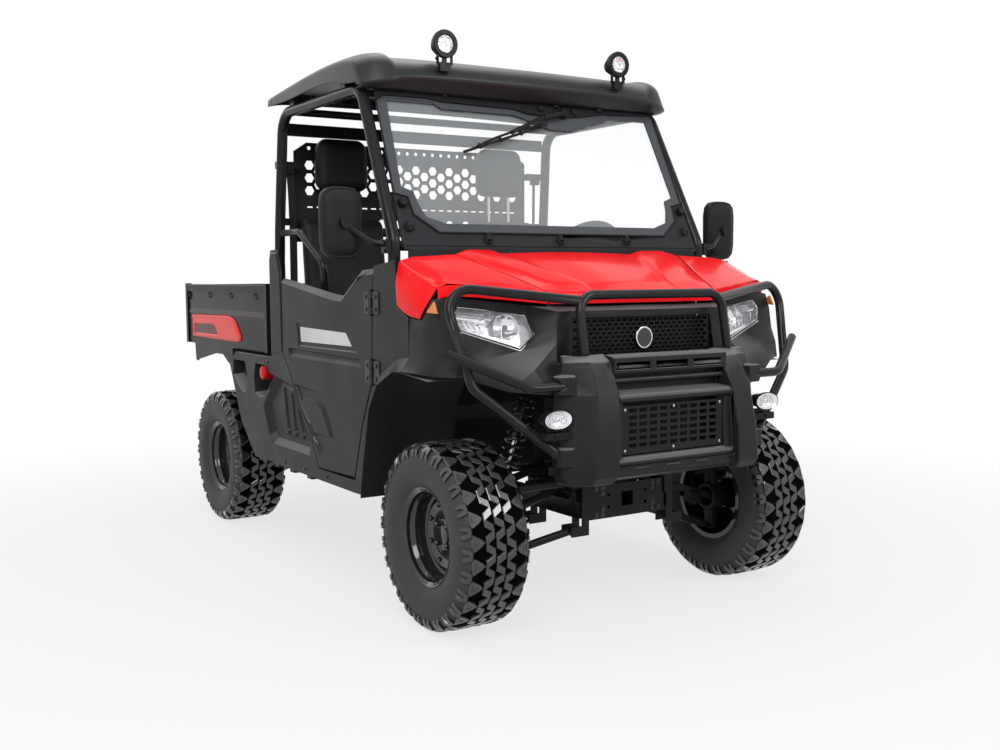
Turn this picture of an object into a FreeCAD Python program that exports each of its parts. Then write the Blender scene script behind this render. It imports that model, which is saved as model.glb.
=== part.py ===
"""Side by side utility vehicle with a cab, a tipping bed and four driven wheels.

Millimetres.  +Z is up, the front faces -Y and +X is the vehicle's left side.
The origin is on the ground below the middle of the vehicle's outline.
Each sub-part is one function below its own sizes, and is written to its own STEP file.
"""
import FreeCAD
import Part
import math
import os

V = FreeCAD.Vector

# ------------------------------------------------------------------ driving sizes
WHEELBASE = 2080.0
FRONT_AXLE_Y = -1065.0
REAR_AXLE_Y = FRONT_AXLE_Y + WHEELBASE
TRACK = 1266.0
TYRE_R = 317.0
TYRE_W = 250.0
AXLE_Z = TYRE_R
HALF_TRACK = TRACK / 2

RAIL_X = 185.0          # middle of each chassis rail
RAIL_W = 50.0
RAIL_TOP = 400.0
RAIL_H = 60.0
DECK_Z = 440.0          # top of the cross bars that the cab floor rests on
SILL_X = 682.0          # outer face of the sill rails
TUB_X = 630.0           # half width of the cab floor
CAB_X = 684.0           # middle of the cab's side tubes
BODY_X = 760.0          # outer face of the doors
PANEL = 4.0             # wall of the moulded panels
SEAT_FIT = 0.3          # gap left where one piece rests on another
SHUT_GAP = 6.0          # gap round doors, hood and tailgate

os.makedirs("parts", exist_ok=True)


# ------------------------------------------------------------------ making shapes
def block(x, y, z):
    """Box between pairs of coordinates."""
    return Part.makeBox(x[1] - x[0], y[1] - y[0], z[1] - z[0], V(x[0], y[0], z[0]))


def mirrored(shape):
    """The same shape on the vehicle's other side."""
    return shape.mirror(V(0, 0, 0), V(1, 0, 0))


def both(shapes):
    """Shapes on the left side and their mirror images."""
    return list(shapes) + [mirrored(shape) for shape in shapes]


def fused(shapes):
    """One solid from shapes that touch or overlap."""
    shapes = list(shapes)
    return shapes[0].multiFuse(shapes[1:]).removeSplitter()


def side_plate(outline, x):
    """Plate with an outline of (y, z) points between two x values."""
    points = [V(x[0], y, z) for y, z in outline]
    return Part.Face(Part.makePolygon(points + points[:1])).extrude(V(x[1] - x[0], 0, 0))


def front_plate(outline, y):
    """Plate with an outline of (x, z) points between two y values."""
    points = [V(x, y[0], z) for x, z in outline]
    return Part.Face(Part.makePolygon(points + points[:1])).extrude(V(0, y[1] - y[0], 0))


def plan_plate(outline, z):
    """Plate with an outline of (x, y) points between two z values."""
    points = [V(x, y, z[0]) for x, y in outline]
    return Part.Face(Part.makePolygon(points + points[:1])).extrude(V(0, 0, z[1] - z[0]))


def rod(start, end, radius):
    """Round bar between two points."""
    start = V(*start)
    run = V(*end) - start
    return Part.makeCylinder(radius, run.Length, start, run)


def pipe(start, end, radius, bore):
    """Round tube between two points."""
    return rod(start, end, radius).cut(rod(start, end, bore))


def bent_tube(points, radius, bend):
    """Round bar along straight runs that are joined by arcs."""
    points = [V(*point) for point in points]
    edges = []
    start = points[0]
    for before, corner, after in zip(points, points[1:], points[2:]):
        run_in = (corner - before).normalize()
        run_out = (after - corner).normalize()
        half_turn = run_in.getAngle(run_out) / 2
        reach = bend * math.tan(half_turn)
        middle = (run_out - run_in).normalize()
        arc_in = corner - run_in * reach
        arc_out = corner + run_out * reach
        arc_top = corner + middle * (bend / math.cos(half_turn) - bend)
        edges.append(Part.LineSegment(start, arc_in).toShape())
        edges.append(Part.Arc(arc_in, arc_top, arc_out).toShape())
        start = arc_out
    edges.append(Part.LineSegment(start, points[-1]).toShape())
    circle = Part.Wire(Part.makeCircle(radius, points[0], points[1] - points[0]))
    return Part.Wire(edges).makePipeShell([circle], True, True)


def patch(corners):
    """Flat face on the corners, or triangles where they aren't in one plane."""
    kept = []
    for corner in corners:
        if all((corner - other).Length > 1e-6 for other in kept):
            kept.append(corner)
    if len(kept) < 3:
        return []
    if len(kept) == 4:
        normal = (kept[1] - kept[0]).cross(kept[2] - kept[0])
        if abs(normal.normalize().dot(kept[3] - kept[0])) > 1e-5:
            return patch([kept[0], kept[1], kept[2]]) + patch([kept[0], kept[2], kept[3]])
    return [Part.Face(Part.makePolygon(kept + kept[:1]))]


def closed_solid(faces):
    """Solid inside faces that meet edge to edge."""
    shell = Part.Shell(faces)
    shell.sewShape()
    solid = Part.makeSolid(shell)
    if solid.Volume < 0:
        solid.reverse()
    return solid


def rim_of(grid):
    """The outer points of a grid, in order."""
    last = [row[-1] for row in grid[1:-1]]
    first = [row[0] for row in grid[1:-1]]
    return grid[0] + last + grid[-1][::-1] + first[::-1]


def slab(upper, lower):
    """Solid between two grids of points with as many rows and columns."""
    upper = [[V(*point) for point in row] for row in upper]
    lower = [[V(*point) for point in row] for row in lower]
    faces = []
    for grid in (upper, lower):
        for row, after in zip(grid, grid[1:]):
            for i in range(len(row) - 1):
                faces += patch([row[i], row[i + 1], after[i + 1], after[i]])
    top, bottom = rim_of(upper), rim_of(lower)
    for i in range(len(top)):
        faces += patch([top[i - 1], top[i], bottom[i], bottom[i - 1]])
    return closed_solid(faces)


def sheet(grid, through):
    """Panel on a grid of points, as thick as the vector through it."""
    shifted = [[(x + through[0], y + through[1], z + through[2]) for x, y, z in row] for row in grid]
    return slab(grid, shifted)


def turned(profile, centre):
    """Solid of revolution about a line along X, from (x, radius) points."""
    points = [V(x, 0, r) for x, r in profile]
    solid = Part.Face(Part.makePolygon(points + points[:1])).revolve(V(0, 0, 0), V(1, 0, 0), 360)
    solid.translate(V(*centre))
    return solid


def save(node, shapes):
    """Write a node's solids to its STEP file."""
    shapes = list(shapes)
    shape = shapes[0] if len(shapes) == 1 else Part.makeCompound(shapes)
    shape.exportStep("parts/" + node + ".step")


# ------------------------------------------------------------------ wheels
TYRE_SIDES = 36         # even, so that blocks and gaps alternate round the tyre
TREAD_SPLIT = 6.0       # half width of the groove round the middle of the tread
LUG_H = 9.0
BEAD_X = 97.5
BEAD_R = 158.0
RIM_LIP_R = 166.0
RIM_BORE_R = 150.0
DISC_X = 17.0           # inboard face of the wheel disc, outboard of the wheel's middle
HUB_FACE_X = 37.0
SPINDLE_R = 18.0
SPINDLE_FIT = 0.1


def wheel_places():
    """(name, y) of the wheels on one side."""
    return (("front", FRONT_AXLE_Y), ("rear", REAR_AXLE_Y))


def tyre():
    """Tyre about the origin, its axle along X, each tread block beside a gap on the other half."""
    half_w = TYRE_W / 2
    wall = [(BEAD_X, BEAD_R), (BEAD_X, BEAD_R + 10), (half_w, BEAD_R + 64), (half_w - 3, TYRE_R - 49)]
    lug = [(half_w - 7, TYRE_R - 27), (half_w - 33, TYRE_R - 5), (TREAD_SPLIT, TYRE_R), (TREAD_SPLIT, TYRE_R - LUG_H)]
    gap = [(half_w - 16, TYRE_R - 29), (half_w - 38, TYRE_R - 5 - LUG_H), (TREAD_SPLIT, TYRE_R - LUG_H)]
    corner = 1 / math.cos(math.pi / TYRE_SIDES)

    def ring(points, step, sign):
        angle = 2 * math.pi * step / TYRE_SIDES
        return [V(sign * x, r * corner * math.sin(angle), r * corner * math.cos(angle)) for x, r in points]

    faces = []
    for step in range(TYRE_SIDES):
        start, end = step - 0.5, step + 0.5
        for sign in (1, -1):
            form = wall + (lug if (step + (sign > 0)) % 2 else gap)
            before, after = ring(form, start, sign), ring(form, end, sign)
            for i in range(1, len(form)):
                faces += patch([before[i - 1], before[i], after[i], after[i - 1]])
            side = ring([wall[-1]] + lug + gap[-2::-1], end, sign)
            faces.append(Part.Face(Part.makePolygon(side + side[:1])))
        for point in (wall[0], gap[-1]):
            faces += patch([ring([point], a, sign)[0] for a, sign in ((start, 1), (end, 1), (end, -1), (start, -1))])
    return closed_solid(faces)


def rim():
    """Steel wheel with its hub about the origin, its outside towards +X."""
    lip_in, lip_out = BEAD_X + 0.5, BEAD_X + 5.5
    well_r = RIM_BORE_R + 4
    return turned([(lip_out, RIM_LIP_R), (lip_in, RIM_LIP_R), (lip_in, well_r + 2), (60, well_r), (0, well_r - 2),
                   (-60, well_r), (-lip_in, well_r + 2), (-lip_in, RIM_LIP_R), (-lip_out, RIM_LIP_R),
                   (-lip_out, RIM_BORE_R + 2), (-60, RIM_BORE_R), (0, RIM_BORE_R - 2), (DISC_X, RIM_BORE_R - 2),
                   (DISC_X, 60), (-33, 52), (-33, SPINDLE_R + SPINDLE_FIT), (10, SPINDLE_R + SPINDLE_FIT),
                   (10, 0), (HUB_FACE_X, 0), (HUB_FACE_X, 34), (DISC_X + 12, 40), (DISC_X + 6, 88),
                   (DISC_X + 14, 112), (DISC_X + 8, RIM_BORE_R - 2), (60, RIM_BORE_R), (lip_out, RIM_BORE_R + 2)],
                  (0, 0, 0))


# ------------------------------------------------------------------ chassis
FRAME_FRONT = -1210.0
FRAME_REAR = 1240.0
CROSS_BARS = (FRONT_AXLE_Y, -925.0, 60.0, 620.0, 1195.0)
DECK_BARS = (-560.0, -80.0)
DECK_STUB_Y = 400.0     # deck bar that stops at the rails, beside the engine
BAR_W = 40.0
FRONT_POSTS = (-1175.0, -915.0)
REAR_POSTS = (720.0, 1180.0)
FRONT_RAIL_TOP = 820.0
REAR_RAIL_FRONT = 292.0
BUMPER_PLATE_Y = -1395.0
REAR_RAIL_TOP = 790.0
PLATE_T = 8.0
PLATE_X = 170.0
PLATE_Z = (331.0, 450.0)
PLATE_HOLES_X = 166.0
PLATE_HOLES_Z = 44.0
PLATE_HOLE_R = 6.5
PLATE_MID_Z = 393.0
RECEIVER = 51.0         # clear width of both receiver tubes
RECEIVER_WALL = 6.5
FRONT_RECEIVER_L = 76.0
RECEIVER_PIN_R = 8.0
HITCH_Z = 370.0
HITCH_REAR = 1400.0
HITCH_PIN_Y = 1352.0
TOWER_Y = FRONT_AXLE_Y + 20
TOWER_Z = 800.0
TOWER_X = 330.0
CYL_X = 130.0
CYL_PIN = (900.0, 425.0)
CYL_PIN_R = 8.0
BED_PIVOT = (1215.0, 800.0)
BED_PIVOT_R = 12.0
BED_PIVOT_X = 185.0


def receiver(y, z):
    """Square tube for a ball mount, between two y values."""
    outer = RECEIVER / 2 + RECEIVER_WALL
    inner = RECEIVER / 2
    tube = block((-outer, outer), y, (z - outer, z + outer))
    return tube.cut(block((-inner, inner), (y[0] - 1, y[1] + 1), (z - inner, z + inner)))


def front_plate_mount():
    """Plate across the nose with the winch holes and the front receiver's mouth."""
    plate = block((-PLATE_X, PLATE_X), (FRAME_FRONT - PLATE_T, FRAME_FRONT), PLATE_Z)
    inner = RECEIVER / 2
    cuts = [block((-inner, inner), (FRAME_FRONT - 20, FRAME_FRONT + 5), (PLATE_MID_Z - inner, PLATE_MID_Z + inner))]
    for x in (-PLATE_HOLES_X / 2, PLATE_HOLES_X / 2):
        for z in (-PLATE_HOLES_Z / 2, PLATE_HOLES_Z / 2):
            centre = (x, FRAME_FRONT - 20, PLATE_MID_Z + z)
            cuts.append(rod(centre, (x, FRAME_FRONT + 5, PLATE_MID_Z + z), PLATE_HOLE_R))
    return plate.cut(Part.makeCompound(cuts))


def frame():
    """Welded ladder chassis with the posts that carry the bodywork."""
    rail_in, rail_out = RAIL_X - RAIL_W / 2, RAIL_X + RAIL_W / 2
    bars = []
    for side in (-1, 1):
        x = sorted((side * rail_in, side * rail_out))
        bars.append(block(x, (FRAME_FRONT, FRAME_REAR), (RAIL_TOP - RAIL_H, RAIL_TOP)))
        for posts, top in ((FRONT_POSTS, FRONT_RAIL_TOP), (REAR_POSTS, REAR_RAIL_TOP)):
            for y in posts:
                bars.append(block(x, (y - BAR_W / 2, y + BAR_W / 2), (RAIL_TOP, top)))
        bars.append(block(x, (FRAME_FRONT, -770), (FRONT_RAIL_TOP - BAR_W, FRONT_RAIL_TOP)))
        bars.append(block(x, (REAR_RAIL_FRONT, FRAME_REAR), (REAR_RAIL_TOP - BAR_W, REAR_RAIL_TOP)))
        sill = sorted((side * (SILL_X - BAR_W), side * SILL_X))
        bars.append(block(sill, (DECK_BARS[0] - BAR_W / 2, DECK_STUB_Y + BAR_W / 2), (RAIL_TOP, DECK_Z)))
        stub = sorted((side * rail_in, side * SILL_X))
        bars.append(block(stub, (DECK_STUB_Y - BAR_W / 2, DECK_STUB_Y + BAR_W / 2), (RAIL_TOP, DECK_Z)))
        arm_x = sorted((side * (RAIL_X - 20), side * (RAIL_X + 20)))
        bars.append(block(arm_x, (BUMPER_PLATE_Y + SEAT_FIT, FRONT_POSTS[0]), (560, 600)))
    for y in CROSS_BARS:
        bars.append(block((-rail_in, rail_in), (y - BAR_W / 2, y + BAR_W / 2), (RAIL_TOP - RAIL_H, RAIL_TOP)))
    for y in DECK_BARS:
        bars.append(block((-SILL_X, SILL_X), (y - BAR_W / 2, y + BAR_W / 2), (RAIL_TOP, DECK_Z)))
    bars.append(block((-rail_out, rail_out), (REAR_RAIL_FRONT, REAR_RAIL_FRONT + 20), (REAR_RAIL_TOP - BAR_W, REAR_RAIL_TOP)))
    for y in (TOWER_Y, REAR_AXLE_Y + 20):
        top = FRONT_RAIL_TOP if y < 0 else REAR_RAIL_TOP
        bars.append(block((-TOWER_X, TOWER_X), (y - 30, y + 30), (top - BAR_W + 5, top - 5)))
    bars.append(front_plate_mount())
    bars.append(receiver((FRAME_FRONT, FRAME_FRONT + FRONT_RECEIVER_L), PLATE_MID_Z))
    bars.append(block((-rail_in, rail_in), (FRAME_FRONT + 20, FRAME_FRONT + 60), (RAIL_TOP - RAIL_H, 358)))
    bars.append(receiver((FRAME_REAR - 60, HITCH_REAR), HITCH_Z))
    bars += suspension_ears()
    bars += cylinder_ears()
    bars += rack_housing()
    solid = fused(bars)
    inner = RECEIVER / 2
    cuts = [block((-inner, inner), (FRAME_FRONT - 20, FRAME_FRONT + FRONT_RECEIVER_L + 1), (PLATE_MID_Z - inner, PLATE_MID_Z + inner)),
            block((-inner, inner), (FRAME_REAR - 25, HITCH_REAR + 5), (HITCH_Z - inner, HITCH_Z + inner)),
            rod((-60, HITCH_PIN_Y, HITCH_Z), (60, HITCH_PIN_Y, HITCH_Z), RECEIVER_PIN_R),
            rod((-300, RACK_Y, RACK_Z), (300, RACK_Y, RACK_Z), RACK_R + PIN_FIT)]
    for side in (-1, 1):
        start = (side * (BED_PIVOT_X - 45), BED_PIVOT[0], BED_PIVOT[1])
        end = (side * (BED_PIVOT_X + 45), BED_PIVOT[0], BED_PIVOT[1])
        ears = block(sorted((side * (BED_PIVOT_X - 25), side * (BED_PIVOT_X + 25))),
                     (BED_PIVOT[0] - 22, BED_PIVOT[0] + 22), (REAR_RAIL_TOP - 20, BED_PIVOT[1] + 20))
        solid = solid.fuse(ears)
        cuts.append(rod(start, end, BED_PIVOT_R + 0.1))
    return solid.cut(Part.makeCompound(cuts)).removeSplitter()


# ------------------------------------------------------------------ suspension
KINGPIN_X = 545.0
PIVOT_X = 232.0
PIVOT_R = 18.0
PIVOT_L = 50.0
EAR_T = 6.0
ARM_R = 14.0
BALL_R = 24.0
BALL_T = 14.0
PIN_R = 8.0
PIN_FIT = 0.1
KNUCKLE_LOW = AXLE_Z - 112
KNUCKLE_HIGH = AXLE_Z + 113
# arm rows: height of the frame pivots, z of the outer end's bottom face
LOWER_ARM = (300.0, KNUCKLE_LOW - 1 - BALL_T)
UPPER_ARM = (470.0, KNUCKLE_HIGH + 1)
ARM_SPREAD = 130.0
SHOCK_FOOT_X = 410.0
SHOCK_TOP_X = 305.0


def suspension_ears():
    """Pairs of ears on the frame that hold the arms' inner bushings."""
    ears = []
    for axle_y in (FRONT_AXLE_Y, REAR_AXLE_Y):
        for pivot_z, _ in (LOWER_ARM, UPPER_ARM):
            for y in (axle_y - ARM_SPREAD, axle_y + ARM_SPREAD):
                for end in (-1, 1):
                    near = y + end * (PIVOT_L / 2 + SEAT_FIT)
                    ear_y = sorted((near, near + end * EAR_T))
                    ears.append(block((RAIL_X - 10, PIVOT_X + PIVOT_R), ear_y, (pivot_z - PIVOT_R, pivot_z + PIVOT_R)))
                    if pivot_z > RAIL_TOP:
                        ears.append(block((RAIL_X - 20, RAIL_X + 20), ear_y, (RAIL_TOP - 5, pivot_z + PIVOT_R)))
                    else:
                        ears.append(block((RAIL_X - 10, RAIL_X + 20), ear_y, (pivot_z - PIVOT_R, RAIL_TOP - 5)))
    return both(ears)


def arm(axle_y, row):
    """Welded A arm on the left side, from two frame bushings to its ball joint."""
    pivot_z, ball_z = row
    joint = (KINGPIN_X, axle_y, ball_z + BALL_T / 2)
    pieces = [rod((KINGPIN_X, axle_y, ball_z), (KINGPIN_X, axle_y, ball_z + BALL_T), BALL_R)]
    for y in (axle_y - ARM_SPREAD, axle_y + ARM_SPREAD):
        pieces.append(rod((PIVOT_X, y - PIVOT_L / 2, pivot_z), (PIVOT_X, y + PIVOT_L / 2, pivot_z), PIVOT_R))
        pieces.append(rod((PIVOT_X, y, pivot_z), joint, ARM_R))
    share = (SHOCK_FOOT_X - PIVOT_X) / (KINGPIN_X - PIVOT_X)
    brace_z = pivot_z + (joint[2] - pivot_z) * share
    brace_y = ARM_SPREAD * (1 - share)
    pieces.append(rod((SHOCK_FOOT_X, axle_y - brace_y, brace_z), (SHOCK_FOOT_X, axle_y + brace_y, brace_z), ARM_R - 2))
    if row is UPPER_ARM:
        pieces.append(block((SHOCK_FOOT_X - 20, SHOCK_FOOT_X + 20), (axle_y - 20, axle_y + 60), (brace_z, brace_z + 20)))
    solid = fused(pieces)
    above = block((KINGPIN_X - 60, KINGPIN_X + 60), (axle_y - 60, axle_y + 60),
                  (ball_z + BALL_T, ball_z + 80) if row is LOWER_ARM else (ball_z - 80, ball_z))
    hole = rod((KINGPIN_X, axle_y, ball_z - 30), (KINGPIN_X, axle_y, ball_z + 60), PIN_R + PIN_FIT)
    return solid.cut(above.fuse(hole))


def suspension_arms():
    """Upper and lower arms of the four wheels."""
    arms = []
    for axle_y in (FRONT_AXLE_Y, REAR_AXLE_Y):
        for row in (LOWER_ARM, UPPER_ARM):
            arms.append(arm(axle_y, row))
    return both(arms)


SHOCK_ROD_R = 9.0
SHOCK_BODY_R = 22.0
SPRING_R = 40.0
COIL_TURNS = 6
COIL_R = 6.0


def shock(axle_y):
    """Coil-over shock absorber on the left side, its coils as separate collars on the body."""
    share = (SHOCK_FOOT_X - PIVOT_X) / (KINGPIN_X - PIVOT_X)
    foot_z = UPPER_ARM[0] + (UPPER_ARM[1] + BALL_T / 2 - UPPER_ARM[0]) * share + 20 + SEAT_FIT
    top_z = (FRONT_RAIL_TOP if axle_y < 0 else REAR_RAIL_TOP) - BAR_W + 5 - SEAT_FIT
    y = axle_y + 20
    foot = V(SHOCK_FOOT_X, y, foot_z)
    top = V(SHOCK_TOP_X, y, top_z)
    line = top - foot
    direction = V(line.x, line.y, line.z).normalize()
    pieces = [block((SHOCK_FOOT_X - 14, SHOCK_FOOT_X + 14), (y - 18, y + 18), (foot_z, foot_z + 26)),
              block((SHOCK_TOP_X - 14, SHOCK_TOP_X + 14), (y - 18, y + 18), (top_z - 26, top_z)),
              Part.makeCylinder(SHOCK_ROD_R, line.Length - 26, foot + direction * 13, direction),
              Part.makeCylinder(SHOCK_BODY_R, line.Length * 0.86 - 26, foot + direction * line.Length * 0.14, direction)]
    pitch = line.Length * 0.78 / COIL_TURNS
    for turn in range(COIL_TURNS + 1):
        centre = foot + direction * (line.Length * 0.12 + turn * pitch)
        pieces.append(Part.makeCylinder(SPRING_R, COIL_R * 2, centre - direction * COIL_R, direction))
    return fused(pieces)


def shocks():
    """Four coil-over shock absorbers."""
    return both([shock(axle_y) for axle_y in (FRONT_AXLE_Y, REAR_AXLE_Y)])


CARRIER_X = (515.0, 565.0)
CARRIER_R = 52.0
CARRIER_BORE_R = 38.0
BACK_PLATE_T = 20.0
CV_BALL_R = 18.0
STEER_ARM_L = 100.0
STEER_ARM_Z = (AXLE_Z - 26, AXLE_Z - 14)


def carrier(axle_y):
    """Hub carrier on the left side, with its spindle and the pins of its ball joints."""
    outer_face = CARRIER_X[1] + BACK_PLATE_T
    ring = pipe((CARRIER_X[0], axle_y, AXLE_Z), (CARRIER_X[1] + 1, axle_y, AXLE_Z), CARRIER_R, CARRIER_BORE_R)
    pieces = [ring,
              rod((CARRIER_X[1], axle_y, AXLE_Z), (outer_face, axle_y, AXLE_Z), CARRIER_R),
              rod((CARRIER_X[1], axle_y, AXLE_Z), (HALF_TRACK + 7, axle_y, AXLE_Z), SPINDLE_R)]
    web_x = (KINGPIN_X - 15, KINGPIN_X + 15)
    pieces.append(block(web_x, (axle_y - 22, axle_y + 22), (AXLE_Z + CARRIER_BORE_R + 4, KNUCKLE_HIGH)))
    pieces.append(block(web_x, (axle_y - 22, axle_y + 22), (KNUCKLE_LOW, AXLE_Z - CARRIER_BORE_R - 4)))
    pieces.append(rod((KINGPIN_X, axle_y, KNUCKLE_HIGH - 5), (KINGPIN_X, axle_y, KNUCKLE_HIGH + BALL_T + 1), PIN_R))
    pieces.append(rod((KINGPIN_X, axle_y, KNUCKLE_LOW - BALL_T - 1), (KINGPIN_X, axle_y, KNUCKLE_LOW + 5), PIN_R))
    return fused(pieces)


def knuckle():
    """Front carrier with its steering arm, on the left side."""
    reach = block((KINGPIN_X - 15, KINGPIN_X + 15), (FRONT_AXLE_Y + CARRIER_BORE_R + 2, FRONT_AXLE_Y + STEER_ARM_L),
                  STEER_ARM_Z)
    tip = rod((KINGPIN_X, FRONT_AXLE_Y + STEER_ARM_L, STEER_ARM_Z[0]),
              (KINGPIN_X, FRONT_AXLE_Y + STEER_ARM_L, STEER_ARM_Z[1]), 15)
    return fused([carrier(FRONT_AXLE_Y), reach, tip])


SHAFT_R = 14.0
GEARBOX_X = 80.0
GEARBOX_Z = 460.0        # height of the half shafts at the gearboxes


def drive_shaft(axle_y):
    """Drive shaft with its two boots, on the left side."""
    inner = (GEARBOX_X + SEAT_FIT, axle_y, GEARBOX_Z)
    outer = (KINGPIN_X, axle_y, AXLE_Z)
    run = V(*outer) - V(*inner)
    direction = V(run.x, run.y, run.z).normalize()
    start = V(*inner)
    boot = Part.makeCone(34, 20, 70, start + V(26, 0, 0), direction)
    flange = rod(inner, (inner[0] + 30, axle_y, inner[2]), 34)
    shaft = Part.makeCylinder(SHAFT_R, run.Length, start, direction)
    bell = Part.makeSphere(CV_BALL_R, V(*outer))
    trimmed = shaft.cut(block((-600, inner[0]), (axle_y - 60, axle_y + 60), (300, 600)))
    return fused([flange, boot, trimmed, bell])


def drive_shafts():
    """Half shafts of the four wheels."""
    return both([drive_shaft(axle_y) for axle_y in (FRONT_AXLE_Y, REAR_AXLE_Y)])


def front_gearbox():
    """Front differential on the frame rails, between the front half shafts."""
    return block((-GEARBOX_X, GEARBOX_X), (FRONT_AXLE_Y - 65, FRONT_AXLE_Y + 65), (RAIL_TOP + SEAT_FIT, GEARBOX_Z + 70))


ENGINE_X = 150.0
ENGINE_Y = (110.0, 580.0)
ENGINE_Z = (345.0, 730.0)


def engine_block():
    """Engine behind and below the seats and the rear gearbox, joined by their housing."""
    engine = block((-ENGINE_X, ENGINE_X), ENGINE_Y, ENGINE_Z)
    gearbox = block((-GEARBOX_X, GEARBOX_X), (660, REAR_AXLE_Y + 110), (RAIL_TOP + SEAT_FIT, GEARBOX_Z + 70))
    housing = block((-GEARBOX_X + 10, GEARBOX_X - 10), (ENGINE_Y[1] - 5, 665), (RAIL_TOP + SEAT_FIT, GEARBOX_Z + 50))
    reach = RAIL_X - RAIL_W / 2 - SEAT_FIT
    mounts = [block((-reach, reach), (y - 20, y + 20), (360, 390)) for y in (220, 480)]
    return fused([engine, gearbox, housing] + mounts)


# ------------------------------------------------------------------ steering
RACK_Y = FRONT_AXLE_Y + STEER_ARM_L
RACK_Z = RAIL_TOP + 30
RACK_R = 14.0
TIE_END_Z = STEER_ARM_Z[1] + 1.5
COLUMN_DIR = (0.0, 0.82, 0.572)
WHEEL_CENTRE = (400.0, -414.0, 1250.0)
STEER_WHEEL_R = 178.0
STEER_GRIP_R = 14.0


def steering_rack():
    """Rack with a tie rod to each knuckle, its eyes resting just above the steering arms."""
    pieces = [rod((-260, RACK_Y, RACK_Z), (260, RACK_Y, RACK_Z), RACK_R)]
    for side in (-1, 1):
        eye_x = side * KINGPIN_X
        pieces.append(rod((side * 255, RACK_Y, RACK_Z), (eye_x, RACK_Y, TIE_END_Z + 9), 8))
        pieces.append(rod((eye_x, RACK_Y, TIE_END_Z), (eye_x, RACK_Y, TIE_END_Z + 22), 13))
    solid = fused(pieces)
    below = block((-600, 600), (RACK_Y - 40, RACK_Y + 40), (TIE_END_Z - 40, TIE_END_Z))
    return solid.cut(below)


def rack_housing():
    """Tube that the rack slides in and its rest on the frame's front rails, before the bore is cut."""
    tube = rod((-RAIL_X - 30, RACK_Y, RACK_Z), (RAIL_X + 30, RACK_Y, RACK_Z), RACK_R + 7)
    rest = block((-RAIL_X - 20, RAIL_X + 20), (RACK_Y - 16, RACK_Y + 16), (RAIL_TOP, RACK_Z))
    return [tube, rest]


def along_column(distance):
    """Point on the steering column's line, measured from the wheel's centre towards the driver."""
    return tuple(c + d * distance for c, d in zip(WHEEL_CENTRE, COLUMN_DIR))


def steering_wheel():
    """Steering wheel with three spokes and its hub on the column's end."""
    centre = V(*WHEEL_CENTRE)
    axis = V(*COLUMN_DIR)
    grip = Part.makeTorus(STEER_WHEEL_R, STEER_GRIP_R, centre, axis)
    hub = rod(along_column(-34), along_column(6), 48)
    across = V(1, 0, 0)
    down = axis.cross(across)
    pieces = [grip, hub]
    for way in (across, across * -1, down * -1):
        pieces.append(Part.makeCylinder(11, STEER_WHEEL_R, centre - axis * 10, way + axis * 0.055))
    solid = fused(pieces)
    bore = rod(along_column(-50), along_column(-20), 12 + SPINDLE_FIT)
    return solid.cut(bore)


# ------------------------------------------------------------------ cab floor
FLOOR_FRONT = -650.0
SEAT_BOX_Y = (-110.0, 290.0)
SEAT_BOX_TOP = 760.0
SHEET = 6.0
FIREWALL_TOP = (-700.0, 1150.0)


def floor_pan():
    """Cab floor, firewall and the box under the seats, one moulded tub."""
    low = DECK_Z + SEAT_FIT
    path = [(FIREWALL_TOP[0], FIREWALL_TOP[1]), (-700, 700), (FLOOR_FRONT, 640), (FLOOR_FRONT, low),
            (SEAT_BOX_Y[0], low), (SEAT_BOX_Y[0], SEAT_BOX_TOP), (SEAT_BOX_Y[1], SEAT_BOX_TOP),
            (SEAT_BOX_Y[1], 1000)]
    back = [(SEAT_BOX_Y[1] - SHEET, 1000), (SEAT_BOX_Y[1] - SHEET, SEAT_BOX_TOP + SHEET),
            (SEAT_BOX_Y[0] - SHEET, SEAT_BOX_TOP + SHEET), (SEAT_BOX_Y[0] - SHEET, low + SHEET),
            (FLOOR_FRONT + SHEET, low + SHEET), (FLOOR_FRONT + SHEET, 642), (-700 + SHEET, 702),
            (FIREWALL_TOP[0] + SHEET, FIREWALL_TOP[1])]
    tub = side_plate(path + back, (-TUB_X, TUB_X))
    ends = []
    seat_end = [(SEAT_BOX_Y[0] - SHEET, low), (SEAT_BOX_Y[0] - SHEET, SEAT_BOX_TOP + SHEET),
                (SEAT_BOX_Y[1], SEAT_BOX_TOP + SHEET), (SEAT_BOX_Y[1], low)]
    for side in (-1, 1):
        x = sorted((side * (TUB_X - SHEET), side * TUB_X))
        ends.append(side_plate(seat_end, x))
    return fused([tub] + ends)


def seat_cushion(side):
    """Seat squab on the seat box."""
    x = sorted((side * 165.0, side * 620.0))
    outline = [(-115, SEAT_BOX_TOP + SHEET + SEAT_FIT), (-150, 800), (-145, 880), (-100, 900), (180, 880),
               (205, SEAT_BOX_TOP + SHEET + SEAT_FIT)]
    return side_plate(outline, x)


BACK_LEAN = [(212.0, 860.0), (170.0, 900.0), (178.0, 1100.0), (222.0, 1400.0), (245.0, 1440.0), (282.0, 1425.0),
             (288.6, 1385.0), (288.6, 1300.0), (262.0, 1010.0), (262.0, 860.0)]


def seat_back(side):
    """Seat back, leaning on the tub's rear wall."""
    x = sorted((side * 215.0, side * 600.0))
    return side_plate(BACK_LEAN, x)


def headrest(side):
    """Headrest with its two posts' block down to the seat back."""
    centre = side * 407.0
    pad = front_plate([(centre - 100, 1553), (centre + 100, 1553), (centre + 122, 1600), (centre + 118, 1750),
                       (centre + 85, 1779.7), (centre - 85, 1779.7), (centre - 118, 1750), (centre - 122, 1600)],
                      (215, 310))
    posts = [rod((centre + x, 265, 1435.4), (centre + x, 265, 1560), 8) for x in (-55, 55)]
    return fused([pad] + posts)


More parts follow.
